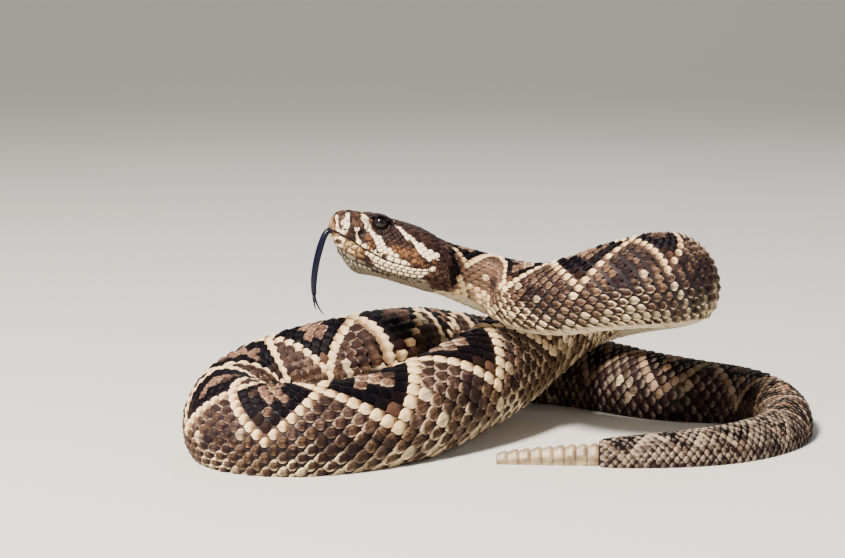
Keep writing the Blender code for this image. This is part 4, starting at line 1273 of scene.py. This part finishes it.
UPPER_LABIALS = (1.6, 3.9, 6.4, 9.0, 11.7, 14.6, 17.7, 20.9, 24.1, 27.3, 30.4, 33.4, 36.2,
                 38.8, 41.2, 43.3)
LOWER_LABIALS = (1.2, 5.4, 8.4, 11.0, 13.6, 16.2, 18.9, 21.7, 24.5, 27.3, 30.1, 32.8, 35.4,
                 37.9, 40.2, 42.4)
UPPER_LABIAL_HEIGHT = ((1.0, 2.0), (8.0, 2.5), (16.0, 2.3), (34.0, 2.1), (43.0, 1.6))
LOWER_LABIAL_HEIGHT = ((1.0, 4.2), (5.0, 3.6), (8.0, 2.9), (12.0, 2.6), (15.0, 1.9), (18.0, 1.6),
                       (43.0, 1.2))
LIP_ROWS = ((0.12, 1.5, 15.2), (1.72, 1.5, 17.0), (3.3, 1.3, 19.4))
LIP_ROW_PITCH = 2.7
LIP_ROW_END = 42.5
LIP_GAP = 0.22


def lip_quad(side, front, rear, edge, tall, slant):
    """Give one plate below an edge, which is a function of the distance, as is its height."""
    top = [edge(where) for where in (front, rear)]
    low = [level - tall(where) for level, where in zip(top, (front, rear))]
    return [side_place(side, front + slant, low[0]), side_place(side, rear + slant, low[1]),
            side_place(side, rear, top[1]), side_place(side, front, top[0])]


def mouth_mm(where):
    return float(mouth_level(where * MM)) / MM


def labial_quads(side):
    """Give the plates along both lips of one side."""
    quads = []
    for front, rear in zip(UPPER_LABIALS, UPPER_LABIALS[1:]):
        low = [mouth_mm(where) + LIP_GAP for where in (front, rear)]
        tall = [float(profile(UPPER_LABIAL_HEIGHT, where)) for where in (front, rear)]
        quads.append([side_place(side, front, low[0]), side_place(side, rear, low[1]),
                      side_place(side, rear - 0.5, low[1] + tall[1]),
                      side_place(side, front - 0.5, low[0] + tall[0])])
    return quads + [
        lip_quad(side, front, rear, lambda where: mouth_mm(where) - LIP_GAP,
                 lambda where: float(profile(LOWER_LABIAL_HEIGHT, where)), -0.6)
        for front, rear in zip(LOWER_LABIALS, LOWER_LABIALS[1:])]


def chin_quads(side):
    """Give two rows of shields below the chin, and three rows of long scales below the lip."""
    quads = []
    rows = [((2.2, 6.4, 10.8, 15.0), 0.3, 1.9), ((7.0, 12.0, 16.6), 2.4, 2.0)]
    rows += [(np.arange(start, LIP_ROW_END, LIP_ROW_PITCH), above, tall)
             for above, tall, start in LIP_ROWS]
    for starts, above, tall in rows:
        quads += [
            lip_quad(side, front, rear,
                     lambda where: mouth_mm(where) - profile(LOWER_LABIAL_HEIGHT, where) - above,
                     lambda where: tall, 0.7)
            for front, rear in zip(starts, starts[1:])]
    return quads


def snout_quads(side):
    """Give the plates of the snout: nasals, internasals, canthals, loreals, preoculars."""
    rows = (((-1.7, 2.2), (1.5, 2.3), (1.7, 6.3), (-1.8, 6.1)),
            ((-1.5, 6.4), (1.7, 6.6), (1.8, 9.6), (-0.6, 9.2)),
            ((1.9, 6.7), (4.6, 6.9), (4.8, 10.2), (2.0, 9.8)),
            ((1.7, 2.6), (4.4, 2.8), (4.6, 6.6), (1.9, 6.4)),
            ((4.7, 2.4), (7.9, 1.9), (8.1, 4.6), (4.8, 5.2)),
            ((4.8, 5.4), (8.2, 4.9), (8.6, 8.9), (5.0, 8.8)),
            ((8.4, 5.1), (11.9, 5.2), (12.3, 9.0), (8.8, 8.9)),
            ((8.2, 1.6), (11.6, 1.2), (11.4, 2.0), (8.2, 2.4)),
            ((12.0, 1.2), (14.6, 0.8), (13.8, 4.6), (12.0, 5.0)),
            ((12.1, 5.1), (14.4, 4.8), (14.4, 6.5), (12.4, 7.1)),
            ((12.4, 7.2), (14.0, 6.7), (13.2, 9.2), (12.4, 9.2)))
    quads = [[side_place(side, *place) for place in row] for row in rows]
    tops = (((-1.3, 0.2), (3.2, 0.2), (3.4, 4.0), (-0.8, 3.6)),
            ((3.4, 2.4), (8.0, 3.4), (8.0, 7.2), (3.4, 6.0)),
            ((8.2, 3.6), (13.0, 4.6), (12.8, 8.4), (8.2, 7.4)))
    quads += [[top_place(side, *place) for place in row] for row in tops]
    return quads


def eye_ring_quads(side):
    """Give the small scales round the eye, below the brow."""
    quads = []
    angles = np.radians(np.linspace(-205.0, 28.0, 13))
    for a, b in zip(angles, angles[1:]):
        quads.append([side_place(side, EYE_CENTRE[0] / MM + r * math.cos(t),
                                 EYE_CENTRE[2] / MM + r * math.sin(t))
                      for t, r in ((a, 3.5), (b, 3.5), (b, 5.2), (a, 5.2))])
    return quads


def middle_quads():
    """Give the plates on the middle line: rostral and mental."""
    return [[front_place(*place) for place in quad] for quad in (
        ((-3.2, 0.9), (3.2, 0.9), (2.3, 7.4), (-2.3, 7.4)),
        ((-1.4, -3.6), (1.4, -3.6), (2.6, -0.5), (-2.6, -0.5)))]


def make_head_plates():
    """Lay the labials, the snout's plates and the scales round the eyes."""
    quads = []
    for side in (-1, 1):
        quads += labial_quads(side) + chin_quads(side) + snout_quads(side) + eye_ring_quads(side)
    quads += middle_quads()
    corners, faces = PLATE
    points = np.array([plate_points(quad, PLATE_HEIGHT) for quad in quads])
    centres = np.array([np.mean([np.array(point) for point in quad], axis=0) for quad in quads])
    draws = np.random.default_rng(23).random(len(quads))
    marks, leaves, patches = head_leaf_values(points, centres, draws, corners, 0.25)
    mesh = joined_mesh("head_plates", points, faces, marks, leaves, patches)
    new_object("head_plates", mesh, FINISH["head"])


def head_leaf_values(points, centres, draws, corners, own):
    """Give tones, leaf places and patches; own says how far a leaf keeps one tone."""
    tones = np.stack(head_tones(*head_coordinates(points)), axis=-1)
    middle = np.stack(head_tones(*head_coordinates(centres)), axis=-1)[:, None, :]
    marks = tones * (1 - own) + middle * own
    along, side, under = corners.T
    across = np.where(under > 0.5, 1.2, np.maximum(np.abs(along * 2 - 1), np.abs(side)))
    leaves = np.stack(np.broadcast_arrays(across, along, draws[:, None]), axis=-1)
    s, x, z = head_coordinates(centres)
    turn = np.arctan2(x, z) / (2 * math.pi) + 0.5
    patches = patches_for(np.clip(s, 0.0, 1.0), turn * 2 - 1, corners)
    return marks, leaves, patches


HEAD_PITCH = ((0.003, 0.0021), (0.014, 0.0021), (0.024, 0.0024), (0.036, 0.0028),
              (0.050, 0.0033))
HEAD_SCALE_SIZE = (1.72, 1.22, 0.00060)
HEAD_ROW = ((0.003, 0.00125), (0.014, 0.00125), (0.024, 0.00140), (0.036, 0.00160),
            (0.050, 0.00170))


def head_scale_places():
    """List the small scales of the head that lie clear of its plates, eyes and pits."""
    stations = [0.0045]
    while stations[-1] < LATTICE_START + 0.003:
        stations.append(stations[-1] + float(profile(HEAD_PITCH, stations[-1])) / 2)
    places = []
    for half, where in enumerate(stations):
        spacing = float(profile(HEAD_ROW, where))
        reach = float(np.interp(where, surface.stations, surface.half_right))
        last = int(reach / spacing)
        for row in range(-last, last + 1):
            if (half + row) % 2:
                continue
            places.append((where, row * spacing / reach, spacing))
    places = np.array(places)
    points, _ = surface.at(places[:, 0], places[:, 1])
    s, x, z = head_coordinates(points)
    s, x, z = s / MM, np.abs(x) / MM, z / MM
    mouth = mouth_level(s * MM) / MM
    upper = mouth + profile(UPPER_LABIAL_HEIGHT, s) + 0.6
    lower = mouth - profile(LOWER_LABIAL_HEIGHT, s) - 0.2
    flank = x > 0.45 * profile(HALF_WIDTH, s * MM) / MM
    keep = ~((z < upper) & (z > lower) & (s < 43.5) & flank)
    keep &= ~((np.hypot(s - EYE_CENTRE[0] / MM, z - EYE_CENTRE[2] / MM) < 5.6) & (x > 5.0))
    keep &= ~((((s - 18.6) / 6.9) ** 2 + ((x - 8.8) / 3.8) ** 2 < 1.0) & (z > 8))
    keep &= ~((s < 14.6) & (x > 2.6) & (z > mouth))
    chin_end = np.where(s < 7.0, 2.5, 4.7)
    keep &= ~((s < LIP_ROW_END - 1) & (z < lower) & (z > lower - chin_end) & (x > 1.5))
    keep &= ~((s < 4.0) & (z > mouth))
    return places[keep], points[keep]


def smooth_outline(corners):
    a, b, under = corners.T
    wide = np.interp(a, (0.0, 0.2, 0.5, 0.8, 0.93, 1.0), (0.55, 0.9, 1.0, 0.9, 0.7, 0.45))
    x = a - 0.55 - 0.08 * a ** 3 * b ** 2
    lift = np.interp(a, (0.0, 0.3, 0.8, 1.0), (-0.2, 0.4, 0.8, 0.8))
    dome = 0.5 * (1 - b ** 2) * np.interp(a, (0.0, 0.3, 0.85, 1.0), (0.3, 1.0, 0.8, 0.2))
    keel = 0.22 * np.exp(-(b / 0.2) ** 2)
    keel = keel * np.interp(a, (0.0, 0.2, 0.8, 1.0), (0.0, 1.0, 0.8, 0.0))
    return x, 0.5 * b * wide, np.where(under > 0.5, lift - 0.9, lift + dome + keel)


def make_head_scales():
    """Cover the crown, the temples and the throat with small scales."""
    places, centres = head_scale_places()
    s, q, spacing = places.T
    draws = np.random.default_rng(31)
    jitter = draws.normal(size=(len(s), 3))
    chance = draws.random(len(s))
    wide, long, tall = HEAD_SCALE_SIZE
    width = spacing * wide * (1 + 0.05 * jitter[:, 0])
    length = profile(HEAD_PITCH, s) * long * (1 + 0.05 * jitter[:, 1])
    height = tall * (1 + 0.10 * jitter[:, 2])
    corners, faces = leaf_template(5, 4)
    points = lay_leaves(s, q, length, width, height, corners, smooth_outline)
    marks, leaves, patches = head_leaf_values(points, centres, chance, corners, 0.55)
    mesh = joined_mesh("head_small_scales", points, faces, marks, leaves, patches)
    new_object("head_small_scales", mesh, FINISH["head"])


def make_brows():
    """Model the broad plate that overhangs each eye."""
    for side, name in ((-1, "brow_left"), (1, "brow_right")):
        bm = bmesh.new()
        bmesh.ops.create_uvsphere(bm, u_segments=40, v_segments=24, radius=1.0)
        bmesh.ops.scale(bm, vec=BROW_SIZE, verts=bm.verts)
        for vert in bm.verts:
            vert.co.z -= 36.0 * vert.co.x ** 2 + 26.0 * vert.co.y ** 2
        tilt = Matrix.Rotation(-side * BROW_TILT, 4, "X")
        bmesh.ops.transform(bm, matrix=HEAD_TURN @ tilt, verts=bm.verts)
        centre = head_world(BROW_CENTRE[0], side * BROW_CENTRE[1], BROW_LEVEL[side])
        bmesh.ops.translate(bm, vec=centre, verts=bm.verts)
        dress_brow(name, mesh_from(bm, name))


def dress_brow(name, mesh):
    """Give a brow the head's tones, darkened with painted shade at its outer rim over the eye.
    """
    back, right, up = head_coordinates(np.array([v.co for v in mesh.vertices]))
    cream, dark, rust = head_tones(back, right, up)
    # Painted shade on the brow's outer rim, which overhangs the eye.
    dark = np.maximum(dark, soft_step(np.abs(right), 0.0092, 0.0105))
    set_attribute(mesh, "mark", np.stack([cream, dark, rust * (dark < 0.9)], axis=-1))
    set_attribute(mesh, "leaf", np.tile((0.3, 0.5, 0.4), (len(cream), 1)))
    new_object(name, mesh, FINISH["head"])


def make_eyes():
    """Model each eye as a clear-covered ball with a tall pupil, facing outwards."""
    for name, side in (("eye_left", -1), ("eye_right", 1)):
        bm = bmesh.new()
        bmesh.ops.create_uvsphere(bm, u_segments=48, v_segments=32, radius=EYE_RADIUS)
        local = [vert.co.copy() for vert in bm.verts]
        bmesh.ops.transform(bm, matrix=HEAD_TURN, verts=bm.verts)
        bmesh.ops.translate(bm, vec=head_world(EYE_CENTRE[0], side * EYE_CENTRE[1],
                                               EYE_CENTRE[2]), verts=bm.verts)
        mesh = mesh_from(bm, name + "_ball")
        set_attribute(mesh, "leaf", np.array(local) / EYE_RADIUS)
        new_object(name + "_ball", mesh, FINISH["eye"], (name,))


# The tongue, in the head's directions from the lips, as in the solids.
TONGUE_POINTS = (
    (0.0024, 0.0, 0.0004), (-0.0008, 0.0, 0.0008), (-0.0025, 0.0, -0.0004),
    (-0.0034, 0.0, -0.0034), (-0.0035, 0.0, -0.0090), (-0.0031, 0.0, -0.0150),
    (-0.0022, 0.0, -0.0208), (-0.0008, 0.0, -0.0262), (0.0006, 0.0, -0.0298),
)
TINES = (
    ((-0.0004, -0.0002, 0.0012), (0.0004, -0.0007, -0.0008), (0.0014, -0.0015, -0.0026),
     (0.0034, -0.0026, -0.0050), (0.0063, -0.0036, -0.0073)),
    ((-0.0004, 0.0002, 0.0012), (0.0002, 0.0007, -0.0008), (0.0010, 0.0013, -0.0024),
     (0.0022, 0.0020, -0.0044), (0.0040, 0.0028, -0.0065)),
)
TONGUE_WIDTHS = ((0, 0.6, 1), (0.0017, 0.0017, 0.00135))
TONGUE_THICKNESSES = ((0, 0.4, 0.8, 1), (0.00125, 0.00160, 0.00148, 0.00112))
TINE_RADII = ((0, 0.4, 1), (0.00082, 0.00064, 0.00022))


def sweep(bm, points, widths, thicknesses, sides, across):
    """Extrude a ring along points of the world into a closed tapering strap."""
    ring = bmesh.ops.create_circle(bm, segments=sides, radius=1.0, cap_ends=True)["verts"]
    shape = [vert.co.copy() for vert in ring]
    face = ring[0].link_faces[0]
    order = [shape[ring.index(vert)] for vert in face.verts]
    first = list(face.verts)
    for k, place in enumerate(points):
        ahead = Vector(points[min(k + 1, len(points) - 1)])
        behind = Vector(points[max(k - 1, 0)])
        run = (ahead - behind).normalized()
        wide = (across - run * across.dot(run)).normalized()
        thick = run.cross(wide)
        if k:
            face = bmesh.ops.extrude_discrete_faces(bm, faces=[face])["faces"][0]
        for vert, co in zip(face.verts, order):
            vert.co = Vector(place) + wide * co.x * widths[k] + thick * co.y * thicknesses[k]
    bm.faces.new(reversed(first))


def make_tongue():
    bm = bmesh.new()
    turn = np.stack([HEAD_BACK, HEAD_RIGHT, HEAD_UP])
    across = Vector(HEAD_RIGHT)
    path = smooth_route(TONGUE_POINTS, 0.0008, 2)
    share = np.linspace(0.0, 1.0, len(path))
    sweep(bm, HEAD_ORIGIN + path @ turn, np.interp(share, *TONGUE_WIDTHS),
          np.interp(share, *TONGUE_THICKNESSES), 20, across)
    for tine in TINES:
        path = smooth_route(np.array(tine) + np.array(TONGUE_POINTS[-1]), 0.0006, 1)
        radii = np.interp(np.linspace(0.0, 1.0, len(path)), *TINE_RADII)
        sweep(bm, HEAD_ORIGIN + path @ turn, radii, radii * 0.8, 14, across)
    bmesh.ops.recalc_face_normals(bm, faces=bm.faces)
    new_object("forked_tongue", mesh_from(bm, "forked_tongue"), FINISH["tongue"],
               ("tongue",))


# The rattle, as in the solids but rounder: a swell, a shoulder and a waist to each segment.
RATTLE_SEGMENTS = 9
RATTLE_PITCH = 0.0050
RATTLE_HALF_HEIGHT = (0.0072, 0.0052)
RATTLE_THINNESS = 0.66
RATTLE_LOBE = ((0.00, 0.79), (0.05, 0.90), (0.16, 0.975), (0.32, 1.0), (0.50, 0.985),
               (0.66, 0.93), (0.80, 0.88), (0.90, 0.90), (0.96, 0.86))


def make_rattle():
    back, right, _ = spine_frame(np.array([TAIL_END]))
    back = Vector((back[0][0], back[0][1], 0.0)).normalized()
    right = Vector(right[0])
    start = Vector(spine_point(np.array([TAIL_END]))[0]) + back * 0.0003
    bm = bmesh.new()
    ring = bmesh.ops.create_circle(bm, segments=48, radius=1.0, cap_ends=True)["verts"]
    face = ring[0].link_faces[0]
    first = list(face.verts)
    order = [math.atan2(vert.co.y, vert.co.x) for vert in first]
    rings = [(k, along, swell) for k in range(RATTLE_SEGMENTS) for along, swell in RATTLE_LOBE]
    rings += [(RATTLE_SEGMENTS - 1, 1.0, 0.70), (RATTLE_SEGMENTS - 1, 1.03, 0.35)]
    for done, (k, along, swell) in enumerate(rings):
        share = (k + along) / RATTLE_SEGMENTS
        widest, narrowest = RATTLE_HALF_HEIGHT
        size = widest + (narrowest - widest) * share ** 1.5
        half = size * swell
        centre = start + back * RATTLE_PITCH * (k + along)
        centre.z = size
        if done:
            face = bmesh.ops.extrude_discrete_faces(bm, faces=[face])["faces"][0]
        for vert, angle in zip(face.verts, order):
            side = abs(math.cos(angle))
            groove = 1.0 - 0.20 * math.exp(-((abs(math.sin(angle)) / 0.20) ** 2))
            lobe = 1.0 + 0.05 * math.cos(4 * angle)
            spot = (centre + Vector((0, 0, 1)) * half * lobe * math.sin(angle)
                    + right * half * RATTLE_THINNESS * lobe * (groove if side > 0.8 else 1.0)
                    * math.cos(angle))
            vert.co = (spot.x, spot.y, max(spot.z, 0.0001))
    bm.faces.new(reversed(first))
    bmesh.ops.recalc_face_normals(bm, faces=bm.faces)
    new_object("rattle_horn", mesh_from(bm, "rattle_horn"), FINISH["horn"],
               ("rattle",))


def head_tones_group():
    """Turn the head's tones to a colour. Rust over 1 is ochre, and below 0 the throat's own
    grey, darkened with painted shade.
    """
    group = bpy.data.node_groups.new("head_tones", "ShaderNodeTree")
    cream, dark, rust = attribute(group, "mark")
    _, _, chance = attribute(group, "leaf")
    speckle = noise(group, 620.0, 4.0, 0.65)
    own = speckle + (chance - 0.5) * 0.22
    colour = blend(band(own, 0.38, 0.68), HEAD_BROWN, HEAD_TAN)
    colour = blend(dark, colour, blend(band(own, 0.42, 0.75), HEAD_DEEP, HEAD_BROWN))
    rusty = blend(band(own, 0.34, 0.68), HEAD_BROWN, HEAD_RUST)
    colour = blend(compute("MULTIPLY", rust, 0.8, clamp=True), colour, rusty)
    ochre = blend(band(speckle, 0.42, 0.72), OCHRE, CREAM)
    colour = blend(band(rust, 1.1, 1.8), colour, ochre)
    throat = blend(speckle, THROAT_DARK, THROAT_PALE)
    colour = blend(compute("MULTIPLY", rust, -1.0, clamp=True), colour, throat)
    pale = blend(band(speckle, 0.55, 0.8), LIP_CREAM, LIP_TAN)
    shaken = cream + (speckle - 0.5) * 0.35
    return finish_group(group, {"Color": blend(band(shaken, 0.4, 0.62), colour, pale)})


def head_material():
    """Head scales: brown, cream, dark and rusty by their tones, edged darker, with painted
    highlight on the crests of some scales in the brown parts.
    """
    finish, tree = new_material("head_scales", {"Roughness": 0.42, "Specular IOR Level": 0.07})
    across, along, chance = attribute(tree, "leaf")
    cream, dark, rust = attribute(tree, "mark")
    brown = band(cream, 0.5, 0.3) * band(rust, -0.3, 0.0) * band(dark, 1.15, 0.2)
    # Painted highlight: pale crests on some of the brown scales.
    crest_highlight = band(along, 0.70, 0.95) * band(chance, 0.30, 0.65)
    colour = blend(crest_highlight * brown * 0.38, read_group(tree, "head")["Color"], HEAD_CREST_HIGHLIGHT)
    colour = blend(band(across, 0.70, 0.93) * 0.85, colour, HEAD_SEAM)
    dress(tree, colour, noise(tree, 2200.0, 3.0), 0.00010)
    return finish


def squared(value, size=1.0):
    return compute("POWER", compute("DIVIDE", value, size), 2.0)


def eye_material():
    finish, tree = new_material("eye_clear", {
        "Roughness": 0.04, "Specular IOR Level": 0.12, "Coat Weight": 0.40,
        "Coat Roughness": 0.02})
    back, _, up = attribute(tree, "leaf")
    iris = blend(noise(tree, 1500.0, 4.0), IRIS_DARK, IRIS_BROWN)
    far = compute("SQRT", squared(back) + squared(up))
    iris = blend(band(far, 0.55, 0.82), iris, IRIS_EDGE)
    slit = squared(back, PUPIL_SIZE[0]) + squared(up, PUPIL_SIZE[1])
    dress(tree, blend(band(slit, 1.15, 0.9), iris, PUPIL))
    return finish


def tongue_material():
    finish, tree = new_material("tongue_skin", {
        "Roughness": 0.24, "Specular IOR Level": 0.16, "Coat Weight": 0.10})
    dress(tree, blend(noise(tree, 500.0), TONGUE_DARK, TONGUE_BLUE), noise(tree, 1500.0), 0.0001)
    return finish


def horn_material():
    finish, tree = new_material("rattle_horn", {"Roughness": 0.4})
    streaks = noise(tree, 240.0, 4.0, 0.6)
    dress(tree, blend(band(streaks, 0.35, 0.7), HORN_PALE, HORN_BROWN), streaks, 0.0003)
    return finish


set_scene()
GROUPS = {"markings": markings_group(), "leaf": leaf_group(), "head": head_tones_group()}
FINISH = {
    "scales": scales_material(),
    "skin": skin_material(),
    "scutes": scutes_material(),
    "head": head_material(),
    "eye": eye_material(),
    "tongue": tongue_material(),
    "horn": horn_material(),
}
SKIN_TREE = make_skin()
make_scales()
make_scutes()
make_head_plates()
make_head_scales()
make_brows()
make_eyes()
make_tongue()
make_rattle()
